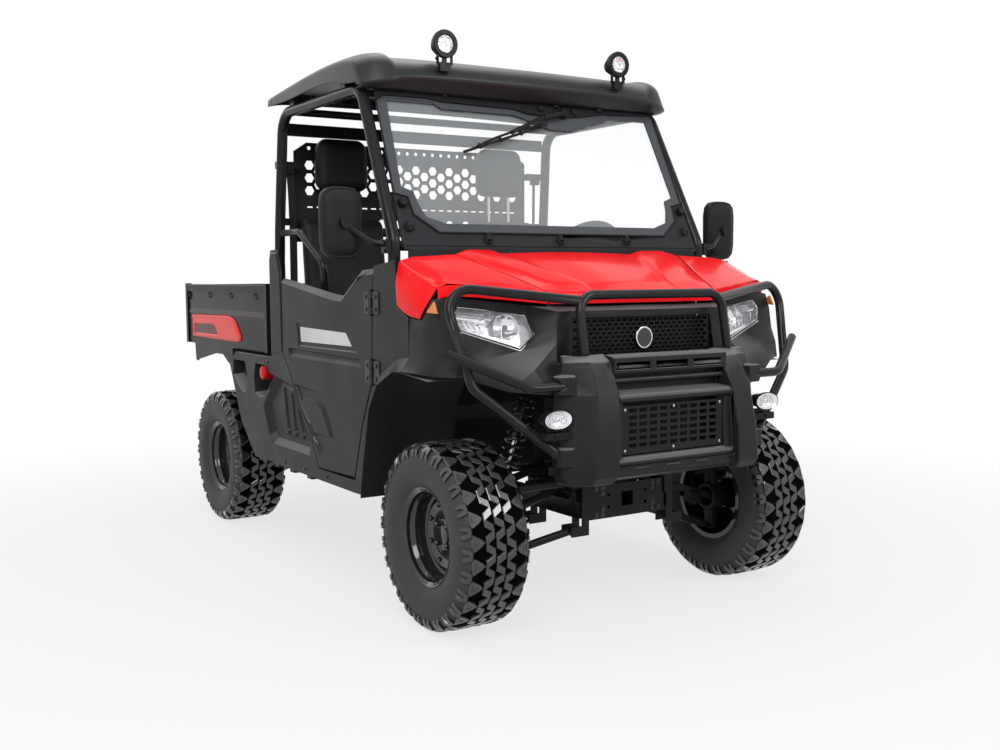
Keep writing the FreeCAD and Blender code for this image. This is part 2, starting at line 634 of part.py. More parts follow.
# ------------------------------------------------------------------ cab frame
CAB_TUBE_R = 22.0
CAB_TOP_Z = 1868.0
COWL_TUBE_X = 700.0
CAB_FRONT_TOP = (676.0, -512.0, CAB_TOP_Z)
CAB_REAR_TOP = (676.0, 249.0, CAB_TOP_Z)
CAB_BEND = 95.0
HIP_R = 14.0
HEAD_BAR_X = 655.1      # half length of the bar behind the headrests


def cab_side():
    """Bent tube of the left door opening with the hip guard behind it."""
    sill_x = SILL_X - BAR_W / 2
    foot_z = DECK_Z + SEAT_FIT
    hoop = bent_tube([(sill_x, -560, foot_z), (sill_x, -560, 560), (sill_x + 10, -610, 740), (COWL_TUBE_X, -800, 1190),
                      (COWL_TUBE_X, -802, 1309), CAB_FRONT_TOP, CAB_REAR_TOP, (CAB_X, 293, 1384),
                      (CAB_X, 302, 1250), (sill_x, 345, 600), (sill_x, 345, foot_z)], CAB_TUBE_R, CAB_BEND)
    guard_x = TUB_X + SEAT_FIT + HIP_R
    guard = bent_tube([(CAB_X, 292, 1369), (CAB_X + 2, 75, 1368), (CAB_X + 2, -165, 1235), (guard_x, -100, 900),
                       (guard_x, -100, 600)], HIP_R, 50)
    return hoop.fuse(guard)


def cab_crossbars():
    """Bars across the cab between the two side tubes."""
    reach = CAB_FRONT_TOP[0] - CAB_TUBE_R - SEAT_FIT
    rear_reach = CAB_X - CAB_TUBE_R - SEAT_FIT
    cowl_reach = COWL_TUBE_X - CAB_TUBE_R - SEAT_FIT
    upright = math.sqrt(1 + SCREEN_SLOPE ** 2)
    cowl_y = screen_y(COWL_BAR_Z) + (COWL_DEPTH[1] + COWL_BAR_R + SEAT_FIT) * upright
    return [rod((-reach, -440, CAB_TOP_Z), (reach, -440, CAB_TOP_Z), 16),
            rod((-reach, -130, CAB_TOP_Z), (reach, -130, CAB_TOP_Z), 14),
            rod((-reach, 170, CAB_TOP_Z), (reach, 170, CAB_TOP_Z), 16),
            block((-HEAD_BAR_X, HEAD_BAR_X), (258, 274), (1780, 1832)),
            rod((-rear_reach, 301, 1372), (rear_reach, 301, 1372), 12),
            rod((-cowl_reach, cowl_y, COWL_BAR_Z), (cowl_reach, cowl_y, COWL_BAR_Z), COWL_BAR_R)]


# ------------------------------------------------------------------ windscreen
SCREEN_LOW = (-802.0, 1334.0)       # (y, z) of the surround's lower edge
SCREEN_SLOPE = 0.466                # rearward run for each millimetre of height
SURROUND_T = 8.0
COWL_DEPTH = (1.0, 9.0)
COWL_BAR_Z = 1285.0
COWL_BAR_R = 14.0
COWL_LOW_Z = 1277.0
APRON_X = 660.0         # plate behind the hood, below the cowl
APRON_LOW_Z = 1196.0
GLASS_T = 5.0
HINGE_ARM = [(-855.8, 1253.4), (-840.3, 1243.3), (-827.5, 1281.0), (-818.0, 1284.0), (-834.5, 1232.5),
             (-842.0, 1231.5), (-860.2, 1246.6)]
SURROUND_OUT = [(519, 1336), (606, 1400), (613, 1462), (666, 1474), (648, CAB_TOP_Z - 18)]
SURROUND_IN = [(482, 1370), (556, 1394), (575, 1440), (584, 1484), (628, 1500), (606, CAB_TOP_Z - 46)]


def screen_y(z):
    """Y of the windscreen's front plane at a height."""
    return SCREEN_LOW[0] + SCREEN_SLOPE * (z - SCREEN_LOW[1])


def screen_face(outline):
    """Face in the windscreen's plane from (x, z) points."""
    points = [V(x, screen_y(z), z) for x, z in outline]
    return Part.Face(Part.makePolygon(points + points[:1]))


def screen_plate(outline, depth):
    """Plate in the windscreen's plane, between two depths behind its front face."""
    inward = V(0, 1, -SCREEN_SLOPE).normalize()
    face = screen_face(outline)
    face.translate(inward * depth[0])
    return face.extrude(inward * (depth[1] - depth[0]))


def whole_outline(half):
    """Outline from the points of its left half, listed from the bottom up."""
    return half + [(-x, z) for x, z in reversed(half)]


def windscreen_surround():
    """Black frame round the glass."""
    outer = screen_plate(whole_outline(SURROUND_OUT), (0, SURROUND_T))
    inner = screen_plate(whole_outline(SURROUND_IN), (-1, SURROUND_T + 1))
    return outer.cut(inner)


def windscreen_glass():
    """Laminated glass bonded behind the surround."""
    half = [(505, 1346), (592, 1405), (600, 1470), (650, 1484), (634, CAB_TOP_Z - 28)]
    return screen_plate(whole_outline(half), (SURROUND_T, SURROUND_T + GLASS_T))


def cowl_panel():
    """Panel under the windscreen, its corners rising to the screen's side knobs."""
    half = [(672, COWL_LOW_Z), (674, 1309), (666.3, 1473.3), (613.4, 1461.6), (606.2, 1399.6), (519.1, 1335.6)]
    plate = screen_plate(whole_outline(half), COWL_DEPTH)
    clips = [screen_plate([(x - 12, 1310), (x + 12, 1310), (x + 9, 1335), (x - 9, 1335)], (-8, 1))
             for x in (-321, 0, 321)]
    clips += both([screen_plate([(618, 1345), (642, 1345), (639, 1370), (621, 1370)], (-8, 1))])
    knobs = []
    for side in (-1, 1):
        centre = V(side * 643, screen_y(1438), 1438)
        outward = V(0, -1, SCREEN_SLOPE).normalize()
        knobs.append(Part.makeCylinder(12, 22, centre - outward * 4, outward))
        for x in (HOOD_LUG_X - 22, HOOD_LUG_X + 14):
            ends = sorted((side * x, side * (x + 8)))
            knobs.append(side_plate(HINGE_ARM, ends))
            knobs.append(rod((ends[0], *HOOD_HINGE), (ends[1], *HOOD_HINGE), HOOD_PIN_R + 1.5))
        knobs.append(rod((side * (HOOD_LUG_X - 22), *HOOD_HINGE), (side * (HOOD_LUG_X + 22), *HOOD_HINGE), HOOD_PIN_R))
    apron = block((-APRON_X, APRON_X), (screen_y(COWL_LOW_Z) - 1, screen_y(COWL_LOW_Z) + 2), (APRON_LOW_Z, COWL_LOW_Z + 4))
    return fused([plate, apron] + clips + knobs)


WIPER_PIVOT = (153.0, 1822.0)
WIPER_TIP = (-336.0, 1640.0)


def wiper():
    """Wiper motor cover, arm and blade on the glass."""
    outward = V(0, -1, SCREEN_SLOPE).normalize()
    pivot = V(WIPER_PIVOT[0], screen_y(WIPER_PIVOT[1]), WIPER_PIVOT[1]) + outward * 14
    tip = V(WIPER_TIP[0], screen_y(WIPER_TIP[1]), WIPER_TIP[1]) + outward * 14
    middle = pivot + (tip - pivot) * 0.62
    run = (tip - pivot).normalize()
    hub = Part.makeCylinder(14, 30, pivot - outward * 13.7, outward)
    arm_bar = Part.makeCylinder(5, (middle - pivot).Length, pivot, run)
    blade = Part.makeCylinder(7, 380, middle - run * 190, run)
    foot = Part.makeCylinder(5, 14, middle - outward * 4, outward)
    return fused([hub, arm_bar, blade, foot])


# ------------------------------------------------------------------ dashboard
DASH_SIDE = [(-694.0, 1000.0), (-694.0, 1150.0), (-770.0, 1215.0), (-776.0, 1250.0), (-640.0, 1196.0),
             (-560.0, 1140.0), (-560.0, 1020.0), (-600.0, 1000.0)]


def dashboard():
    """Dashboard with the steering column's housing and the end of the column."""
    board = side_plate(DASH_SIDE, (-TUB_X, TUB_X))
    housing = rod(along_column(-230), along_column(-60), 34)
    column = rod(along_column(-80), along_column(-22), 12)
    return fused([board, housing, column])


# ------------------------------------------------------------------ roof
ROOF_T = 26.0
# roof sections from front to back: name, y of the top surface and its height over the side tubes, at five distances
# from the middle
ROOF_X = (0.0, 300.0, 560.0, 650.0, 708.0)
ROOF_ROWS = [
    ("lip", (-592, -591, -586, -578, -556), (36, 34, 25, 15, 1)),
    ("nose", (-640, -638, -628, -612, -574), (68, 66, 58, 44, 29)),
    ("brow", (-616, -614, -602, -586, -556), (108, 107, 100, 87, 62)),
    ("crest", (-459, -459, -459, -459, -459), (124, 126, 128, 120, 94)),
    ("middle", (-272, -272, -272, -272, -272), (130, 130, 130, 126, 110)),
    ("back", (60, 60, 60, 60, 60), (122, 120, 116, 108, 90)),
    ("tail", (338, 338, 336, 332, 322), (92, 90, 85, 77, 64))]
# lower surface of each section, as the step back and down from the top surface
ROOF_INNER = {"lip": (12, 0), "nose": (20, 2), "brow": (26, -20), "crest": (0, -ROOF_T), "middle": (0, -ROOF_T),
              "back": (0, -ROOF_T), "tail": (0, -ROOF_T)}
ROOF_EDGE_DROP = {"crest": 50.0, "middle": 50.0, "back": 38.0, "tail": 29.0}
ROOF_FEET_Y = (-380.0, 120.0)


def roof():
    """Moulded roof with a visor over the windscreen and a foot over each side tube."""
    upper, lower = [], []
    for name, ys, zs in ROOF_ROWS:
        back, down = ROOF_INNER[name]
        top = [(x, y, CAB_TOP_Z + above) for x, y, above in zip(ROOF_X, ys, zs)]
        bottom = [(x, y + back, z + down) for x, y, z in top]
        x, y, z = top[-1]
        bottom[-1] = (x, y + back, z - ROOF_EDGE_DROP.get(name, -down))
        upper.append([(-x, y, z) for x, y, z in top[:0:-1]] + top)
        lower.append([(-x, y, z) for x, y, z in bottom[:0:-1]] + bottom)
    feet = []
    for side in (-1, 1):
        x = sorted((side * (CAB_FRONT_TOP[0] - 26), side * (CAB_FRONT_TOP[0] + 12)))
        for y in ROOF_FEET_Y:
            feet.append(block(x, (y - 15, y + 15), (CAB_TOP_Z + CAB_TUBE_R + SEAT_FIT, CAB_TOP_Z + CAB_TUBE_R + 66)))
    return fused([slab(upper, lower)] + feet)


LAMP_X = 403.0
LAMP_Y = -640.0
LAMP_Z = CAB_TOP_Z + 166.0
LAMP_R = 52.0


def roof_lamp():
    """Round work lamp on its bracket at the roof's front edge, left side."""
    body = rod((LAMP_X, LAMP_Y - 28, LAMP_Z), (LAMP_X, LAMP_Y + 18, LAMP_Z), LAMP_R)
    back = Part.makeCone(LAMP_R - 6, 24, 26, V(LAMP_X, LAMP_Y + 18, LAMP_Z), V(0, 1, 0))
    stem = rod((LAMP_X, LAMP_Y - 5, LAMP_Z - 98), (LAMP_X, LAMP_Y - 5, LAMP_Z), 8)
    foot = block((LAMP_X - 22, LAMP_X + 22), (LAMP_Y - 16, LAMP_Y + 4.9), (LAMP_Z - 104, LAMP_Z - 76))
    return fused([body, back, stem, foot])


# ------------------------------------------------------------------ rear screen
MESH_Y = (330.0, 333.0)
MESH_X = 600.0
MESH_Z = (CAB_TOP_Z - 533.0, CAB_TOP_Z - 103.0)
HEX_PITCH = 44.0
HEX_ROW = 55.0
HEX_R = 22.0


def hexagon(x, z, radius):
    """Corners of a hexagon with a flat top."""
    return [(x + radius * math.cos(math.pi / 3 * i), z + radius * math.sin(math.pi / 3 * i)) for i in range(6)]


def pierced(outline, holes, y):
    """Plate of (x, z) points with holes of (x, z) points, between two y values."""
    face_of = lambda loop: Part.Face(Part.makePolygon([V(x, y[0], z) for x, z in loop + loop[:1]]))
    face = face_of(outline).cut(Part.makeCompound([face_of(hole) for hole in holes]))
    return face.extrude(V(0, y[1] - y[0], 0))


def rear_screen():
    """Pressed steel guard behind the seats, hung on the cab's rear tubes."""
    holes = []
    columns = int(MESH_X // HEX_PITCH) - 1
    for column in range(-columns, columns + 1):
        lift = HEX_ROW / 2 if column % 2 else 0
        for z in [MESH_Z[0] + up for up in (333, 278, 223, 85, 30)]:
            centre_z = z - lift
            if HEX_R < centre_z - MESH_Z[0] and not 95 < centre_z - MESH_Z[0] < 205:
                holes.append(hexagon(column * HEX_PITCH, centre_z, HEX_R))
        holes.append(hexagon(column * HEX_PITCH, MESH_Z[1] - 23, 9))
        slot_x = column * HEX_PITCH
        slot_z = MESH_Z[0] + 149
        holes.append([(slot_x - 13, slot_z), (slot_x + 13, slot_z), (slot_x + 13, slot_z + 6), (slot_x - 13, slot_z + 6)])
    outline = [(-MESH_X, MESH_Z[0]), (MESH_X, MESH_Z[0]), (MESH_X, MESH_Z[1] - 40), (MESH_X - 60, MESH_Z[1]),
               (60 - MESH_X, MESH_Z[1]), (-MESH_X, MESH_Z[1] - 40)]
    plate = pierced(outline, holes, MESH_Y)
    tabs = []
    for z in (MESH_Z[0] + 85, MESH_Z[1] - 105):
        tube_y = 293 - (z - 1384) * 0.0907
        tabs.append(block((MESH_X - 8, CAB_X), (tube_y + CAB_TUBE_R + 1.4, MESH_Y[1]), (z - 15, z + 15)))
    return fused([plate] + both(tabs))


# ------------------------------------------------------------------ hood and wings
# hood sections from back to front: y at the middle and at the split line, then z at four distances
HOOD_HINGE = (-858.0, 1250.0)
HOOD_PIN_R = 5.0
HOOD_LUG_X = 220.0
# y at the middle, the valley, both edges of the crest and the split line, then (x, z) of the same five
HOOD_ROWS = [
    ((-850, -855, -857, -870, -890), (0, 302, 342, 450, 503), (1270, 1260, 1273, 1274, 1257)),
    ((-960, -962, -963, -968, -976), (0, 268, 304, 408, 472), (1244, 1230, 1241, 1241, 1229)),
    ((-1085, -1085, -1086, -1088, -1090), (0, 226, 254, 366, 418), (1205, 1191, 1200, 1199, 1187)),
    ((-1213, -1210, -1209, -1203, -1196), (0, 184, 198, 330, 386), (1157, 1150, 1155, 1156, 1148)),
    ((-1283, -1277, -1276, -1266, -1254), (0, 184, 198, 320, 364), (1122, 1122, 1122, 1124, 1126)),
    ((-1286, -1280, -1279, -1269, -1257), (0, 184, 198, 320, 364), (1088, 1088, 1088, 1088, 1089))]
SKIN = 3.0
# wing sections from back to front, each from the split line outwards and down: (x, y, z)
WING_ROWS = [
    [(509, -896, 1256), (590, -905, 1251), (690, -914, 1246), (744, -925, 1233), (763, -934, 1160), (762, -943, 1086)],
    [(478, -979, 1228), (575, -990, 1225), (682, -1000, 1216), (740, -1006, 1196), (765, -1008, 1120), (762, -1010, 1053)],
    [(424, -1093, 1186), (545, -1090, 1188), (672, -1078, 1184), (730, -1070, 1172), (763, -1066, 1105), (758, -1060, 1048)],
    [(392, -1198, 1147), (540, -1160, 1163), (688, -1122, 1167), (722, -1112, 1152), (757, -1092, 1080), (756, -1080, 1045)],
    [(370, -1256, 1125), (540, -1206, 1143), (690, -1153, 1158), (722, -1143, 1144), (755, -1104, 1066), (755, -1086, 1044)]]
WING_LIP = 36.0


def hood():
    """Hood between the split lines, with a raised crest along each side and a turned-down front."""
    grid = []
    for ys, xs, zs in HOOD_ROWS:
        row = list(zip(xs, ys, zs))
        grid.append([(-x, y, z) for x, y, z in row[:0:-1]] + row)
    skin = sheet(grid, (0, SKIN, -SKIN))
    lugs, bores = [], []
    for side in (-1, 1):
        x = sorted((side * (HOOD_LUG_X - 12), side * (HOOD_LUG_X + 12)))
        lugs.append(rod((x[0], *HOOD_HINGE), (x[1], *HOOD_HINGE), 9))
        lugs.append(block(x, (HOOD_HINGE[0] - 9, HOOD_HINGE[0] + 2), (HOOD_HINGE[1], HOOD_HINGE[1] + 14)))
        bores.append(rod((x[0] - 1, *HOOD_HINGE), (x[1] + 1, *HOOD_HINGE), HOOD_PIN_R + PIN_FIT))
    return fused([skin] + lugs).cut(Part.makeCompound(bores))


def wing():
    """Painted wing outside the split line, left side."""
    skin = sheet(WING_ROWS, (-SKIN, SKIN, -SKIN))
    front = WING_ROWS[-1][:3]
    lip = [front, [(x, y - 2, z - WING_LIP) for x, y, z in front]]
    return fused([skin, sheet(lip, (-SKIN, SKIN, -SKIN))])


# ------------------------------------------------------------------ fascia
GRILLE_TOP = (306.0, -1302.0, 1041.0)
GRILLE_LOW = (316.0, -1317.0, 913.0)
GRILLE_MID_Y = -1322.0
# fascia rows from the top down, from the grille's frame to the seam with the fender: (x, y, z)
FASCIA_ROWS = [
    [(364, -1302, 1066), (426, -1213, 1084), (540, -1190, 1098), (688, -1152, 1116), (746, -1146, 1106),
     (752, -1090, 1040), (756, -1016, 1046)],
    [(368, -1308, 1030), (420, -1208, 1052), (540, -1184, 1062), (684, -1166, 1052), (748, -1164, 1052),
     (758, -1096, 1010), (758, -1016, 1010)],
    [(376, -1316, 960), (452, -1236, 940), (560, -1215, 966), (676, -1190, 990), (745, -1180, 975),
     (760, -1106, 960), (760, -1016, 960)],
    [(381, -1326, 897), (467, -1322, 879), (609, -1248, 914), (668, -1212, 935), (752, -1196, 922),
     (762, -1110, 915), (762, -1016, 915)],
    [(384, -1345, 860), (440, -1372, 800), (560, -1315, 812), (690, -1235, 858), (768, -1190, 862),
     (790, -1110, 868), (790, -1016, 868)]]
LAMP_OUTLINE = [(660, 1082), (425, 1052), (415, 982), (467, 946), (660, 1006), (679, 1051)]
LAMP_PLANE = (660.0, -1157.0, 1082.0)
LAMP_NORMAL = (0.133, -0.933, 0.335)


def on_lamp_plane(x, z, lift):
    """Point of the headlamp's front plane above (x, z), moved along its normal."""
    px, py, pz = LAMP_PLANE
    nx, ny, nz = LAMP_NORMAL
    y = py - (nx * (x - px) + nz * (z - pz)) / ny
    return V(x + nx * lift, y + ny * lift, z + nz * lift)


def headlamp(front=4.0, back=-40.0):
    """Headlamp body on the left side."""
    points = [on_lamp_plane(x, z, back) for x, z in LAMP_OUTLINE]
    face = Part.Face(Part.makePolygon(points + points[:1]))
    return face.extrude(V(*LAMP_NORMAL) * (front - back))


def fascia():
    """Moulded nose round the grille and the headlamps."""
    side = sheet(FASCIA_ROWS, (-PANEL, PANEL, 0)).cut(headlamp(60, -80))
    corner = FASCIA_ROWS[0][0]
    low = FASCIA_ROWS[3][0]
    frame_side = sheet([[GRILLE_TOP, corner], [GRILLE_LOW, low]], (0, PANEL, 0))
    brow_edge = (0, GRILLE_MID_Y + 2, GRILLE_TOP[2])
    mirror_x = lambda p: (-p[0], p[1], p[2])
    brow = sheet([[(-364, -1250, 1080), (0, -1278, 1080), (364, -1250, 1080)],
                  [mirror_x(corner), (0, -1322, 1066), corner],
                  [mirror_x(GRILLE_TOP), brow_edge, GRILLE_TOP]], (0, PANEL, 0))
    cheek = sheet([[(356, -1250.6, 1080), (364, -1250, 1080), (426, -1205, 1084)],
                   [(356, -1302.4, 1066), corner, FASCIA_ROWS[0][1]]], (-2, PANEL, -3))
    chin = sheet([[mirror_x(low), low], [(-384, -1345, 860), (384, -1345, 860)]], (0, PANEL, 0))
    return fused([brow, chin] + both([side, frame_side, cheek]))


def grille():
    """Mesh behind the fascia's opening."""
    top, low = GRILLE_TOP[2] - 2, GRILLE_LOW[2] - 14
    holes = []
    for row in range(9):
        shift = 13 if row % 2 else 0
        for column in range(-11, 12):
            x = column * 26 + shift
            z = top - 10 - row * 14
            if abs(x) < 290:
                holes.append([(x - 11, z), (x - 7, z + 5), (x + 7, z + 5), (x + 11, z), (x + 7, z - 5), (x - 7, z - 5)])
    outline = [(-GRILLE_LOW[0], low), (GRILLE_LOW[0], low), (GRILLE_TOP[0], top), (-GRILLE_TOP[0], top)]
    return pierced(outline, holes, (-1297.7, -1294.7))


# ------------------------------------------------------------------ front fenders
FENDER_X = 760.0
# edge of the front wheel arch from the sill forwards: (y, z), with the panel's edge above it
ARCH_EDGE = [(-684, 391), (-705, 495), (-762, 716), (-827, 809), (-948, 863), (-1012, 868)]
ARCH_PANEL = [(-640, 391), (-662, 500), (-718, 728), (-795, 848), (-930, 908), (-1012, 915)]
DOOR_FRONT = [(-751, 1212), (-728, 805), (-646, 650), (-576, 448)]
FLARE_X = 790.0
LINER_IN_X = 430.0


def front_fender():
    """Panel ahead of the left door with its flared wheel arch and the liner inside it."""
    rear = [(y - SHUT_GAP, z) for y, z in DOOR_FRONT]
    outline = ([(-919, 1238), (-757, 1218)] + rear + [(-582, 391)] + ARCH_PANEL
               + [(-1012, 1042), (-937, 1078)])
    skin = side_plate(outline, (FENDER_X - PANEL, FENDER_X))
    flare = sheet([[(FENDER_X - 1, y, z) for y, z in ARCH_PANEL], [(FLARE_X, y, z) for y, z in ARCH_EDGE]], (-PANEL, 0, 0))
    path = ARCH_EDGE[:-1] + [(-1012, 862), (-1180, 848)]
    rows = [[(x, y, z) for y, z in path] for x in (LINER_IN_X, FLARE_X - PANEL)]
    liner = sheet(rows, (0, 3, 3))
    brace = block((RAIL_X + RAIL_W / 2 + SEAT_FIT, LINER_IN_X + 10), (-960, -930), (800, 806))
    web = block((LINER_IN_X, LINER_IN_X + 10), (-960, -930), (800, 864))
    top = block((COWL_TUBE_X + CAB_TUBE_R + SEAT_FIT, FENDER_X), (-860, -790), (1180, 1186))
    solid = fused([skin, flare, liner, brace, web, top])
    x, y = HINGE_AXIS
    cuts = []
    for low, high in HINGE_Z:
        cuts.append(block((x - 17, FENDER_X + 1), (y - 16, y + 40), (low - 4, high + 4)))
        cuts.append(block((FENDER_X, x + 40), (y - HINGE_LEAF - SEAT_FIT, y + 20), (low - SEAT_FIT, high + SEAT_FIT)))
    return solid.cut(Part.makeCompound(cuts))


# ------------------------------------------------------------------ bumper
BUMPER_FRONT = -1505.0
# rows of each overrider from the top down: z, then (x, y) of its inner, front and outer edges
OVERRIDER = [
    (925, (236, -1388), (318, -1388), (395, -1374)),
    (903, (236, -1425), (318, -1425), (402, -1386)),
    (800, (246, -1484), (330, -1482), (420, -1396)),
    (650, (257, BUMPER_FRONT), (345, BUMPER_FRONT + 2), (430, -1402)),
    (541, (262, BUMPER_FRONT), (355, BUMPER_FRONT + 2), (425, -1412)),
    (510, (270, -1480), (352, -1478), (412, -1420))]
BUMPER_BACK = -1360.0
BUMPER_HALF = 250.0
BAR_R = 16.0
HOOP_BEND = 60.0
GUARD_Z = (598.0, 757.0)
GUARD_X = 222.0
GUARD_Y = -1462.0


def bumper():
    """Moulded bumper with two overriders, a slotted bar and the frame of the guard plate."""
    pieces = []
    for side in (-1, 1):
        front = [[(side * x, y, z) for x, y in corners] for z, *corners in OVERRIDER]
        back = [[(side * x, max(y + 18, BUMPER_BACK - (0 if z < 900 else 10)), z) for x, y in corners]
                for z, *corners in OVERRIDER]
        pieces.append(slab(front, back))
        for low, high, y in ((800, 862, -1432), (572, 632, -1446)):
            ear = plan_plate([(side * 380, y), (side * 438, y + 8), (side * 448, y + 30), (side * 430, y + 62),
                              (side * 360, y + 62)], (low, high))
            pieces.append(ear)
        pieces.append(block(sorted((side * 380, side * 475)), (-1414, -1394), (684, 701 - SEAT_FIT)))
    pieces.append(block((-BUMPER_HALF, BUMPER_HALF), (BUMPER_PLATE_Y - 10, BUMPER_PLATE_Y), (520, 905)))
    slot_bar = side_plate([(-1400, 868), (-1440, 872), (-1452, 884), (-1440, 920), (-1400, 925)], (-244, 244))
    for x in (-155, 0, 155):
        slot_bar = slot_bar.cut(block((x - 64, x + 64), (-1460, -1407), (886, 908)))
    pieces.append(slot_bar)
    pieces.append(side_plate([(-1400, 828), (-1436, 831), (-1436, 843), (-1400, 846)], (-247, 247)))
    pieces.append(side_plate([(-1400, 778), (-1476, 770), (-1482, 782), (-1472, 796), (-1400, 802)], (-255, 255)))
    pieces.append(side_plate([(-1400, 560), (-1478, 562), (-1484, 574), (-1470, 590), (-1400, 592)], (-260, 260)))
    pieces.append(side_plate([(-1395, 520), (-1440, 512), (-1474, 530), (-1478, 566), (-1395, 566)], (-265, 265)))
    pieces += both([block((GUARD_X + 1, BUMPER_HALF + 12), (-1470, -1400), (585, 775)),
                    block((GUARD_X - 20, GUARD_X + 2), (GUARD_Y + 6 + SEAT_FIT, -1400), (592, 765))])
    return fused(pieces).cut(bull_bar(BAR_R + SEAT_FIT))


def guard_plate():
    """Slotted steel plate in the middle of the bumper."""
    holes = []
    for row in range(6):
        for column in range(9):
            x = (column - 4) * 44.0
            z = 620 + row * 23
            holes.append([(x - 15, z), (x + 15, z), (x + 17, z + 13), (x - 17, z + 13)])
    outline = [(-GUARD_X, GUARD_Z[0]), (GUARD_X, GUARD_Z[0]), (GUARD_X, GUARD_Z[1]), (-GUARD_X, GUARD_Z[1])]
    return pierced(outline, holes, (GUARD_Y, GUARD_Y + 6))


def bull_bar(radius=BAR_R):
    """Tube guard in front of the grille and the headlamps."""
    foot = (315.0, -1385.0, 925.0 + SEAT_FIT)
    top = (312.0, -1350.0, 1118.0)
    hoop = bent_tube([foot, top, (-top[0], top[1], top[2]), (-foot[0], foot[1], foot[2])], radius, HOOP_BEND)
    loop = bent_tube([(300, -1350, 1100), (745, -1208, 1151), (690, -1304, 828), (415, -1418, 593)], radius, 70)
    brace = bent_tube([(415, -1411, 829), (545, -1408, 829), (762, -1270, 941)], radius, 80)
    return fused([hoop] + both([loop, brace]))


FOG_X = 458.0
FOG_Z = 729.0
FOG_Y = -1443.0


def fog_lamp():
    """Oval fog lamp beside the left overrider."""
    ellipse = Part.Ellipse(V(FOG_X, FOG_Y, FOG_Z), 57, 37).toShape()
    ellipse.rotate(V(FOG_X, FOG_Y, FOG_Z), V(1, 0, 0), 90)
    glass = Part.Face(Part.Wire(ellipse)).extrude(V(0, 20, 0))
    pot = rod((FOG_X, FOG_Y + 19, FOG_Z), (FOG_X, FOG_Y + 58, FOG_Z), 28)
    return glass.fuse(pot)


# ------------------------------------------------------------------ doors
DOOR_T = 38.0
DOOR_OUTLINE = [(-751, 1212), (-728, 805), (-646, 650), (-576, 448), (-247, 439), (-186, 540), (-149, 596),
                (-70, 656), (28, 795), (99, 874), (104, 1179), (-406, 1118), (-477, 1114), (-640, 1206)]
HINGE_AXIS = (766.0, -740.0)
HINGE_Z = ((805.0, 890.0), (1050.0, 1132.0))
HINGE_R = 9.0
HINGE_LEAF = 58.0
HINGE_PLAY = 0.2


def door():
    """Half door on the left side with its moving hinge knuckles."""
    leaf = side_plate(DOOR_OUTLINE, (BODY_X - DOOR_T, BODY_X))
    recess = side_plate([(-69, 996), (-517, 985), (-605, 910), (-85, 912)], (BODY_X - 4, BODY_X + 1))
    x, y = HINGE_AXIS
    pieces = [leaf.cut(recess)]
    for low, high in HINGE_Z:
        pieces[0] = pieces[0].cut(block((x - 17, BODY_X + 1), (y - 30, y + 14), (low - 4, high + 4)))
        third = (high - low) / 3
        pieces.append(rod((x, y, low + third + HINGE_PLAY), (x, y, high - third - HINGE_PLAY), HINGE_R))
        pieces.append(block((x - 3, x + 3), (y, y + 44), (low + third + HINGE_PLAY, high - third - HINGE_PLAY)))
        pieces.append(block((BODY_X - 12, x + 3), (y + 15, y + 44), (low + third + HINGE_PLAY, high - third - HINGE_PLAY)))
    return fused(pieces)


def door_hinges():
    """Fixed hinge leaves on the fender beside the left door."""
    x, y = HINGE_AXIS
    leaves = []
    for low, high in HINGE_Z:
        third = (high - low) / 3
        leaf = block((FENDER_X + SEAT_FIT, x + 3), (y - HINGE_LEAF, y), (low, high))
        keep = block((x - 20, x + 20), (y - HINGE_R - 3, y + HINGE_R + 3), (low + third - HINGE_PLAY, high - third + HINGE_PLAY))
        pin = rod((x, y, low), (x, y, high), HINGE_R)
        leaves.append(leaf.fuse(pin).cut(keep))
    return leaves


# ------------------------------------------------------------------ rear side panels
SIDE_PANEL_X = 754.0
ROCKER_TOP = 433.0
SIDE_OUTLINE = [(112, 1200), (150, 1296), (232, 1296), (250, 1255), (250, 843), (700, 843), (788, 790), (645, 532),
                (475, 385), (377, 388), (-576, 388), (-576, ROCKER_TOP), (-240, ROCKER_TOP), (-180, 534), (-143, 590),
                (-64, 650), (34, 790), (105, 868)]


def side_panel():
    """Panel behind the left door, with the sill strip below the door."""
    skin = side_plate(SIDE_OUTLINE, (SIDE_PANEL_X - PANEL, SIDE_PANEL_X))
    step = block((SILL_X + SEAT_FIT, SIDE_PANEL_X), (-560, 400), (ROCKER_TOP - PANEL, ROCKER_TOP))
    pillar = block((CAB_X + 30, SIDE_PANEL_X), (246, 250), (860, 1255))
    cap = rod((SIDE_PANEL_X - 2, 334, 771), (SIDE_PANEL_X + 14, 334, 771), 28)
    return fused([skin, step, pillar, cap])


# ------------------------------------------------------------------ mirrors
MIRROR = (874.0, -745.0, 1366.0)


def mirror():
    """Door mirror on its arm from the left windscreen pillar."""
    x, y, z = MIRROR
    half = [(x + 50, z - 121), (x + 74, z - 95), (x + 76, z + 95), (x + 55, z + 121)]
    outline = half + [(2 * x - px, pz) for px, pz in reversed(half)]
    head = front_plate(outline, (y - 18, y + 20))
    arm_bar = bent_tube([(COWL_TUBE_X + CAB_TUBE_R + SEAT_FIT, -802, 1292), (790, -805, 1300), (x, y - 16, z)], 8, 20)
    clamp = block((COWL_TUBE_X + CAB_TUBE_R + SEAT_FIT, COWL_TUBE_X + CAB_TUBE_R + 18), (-820, -784), (1262, 1310))
    return fused([head, arm_bar, clamp])


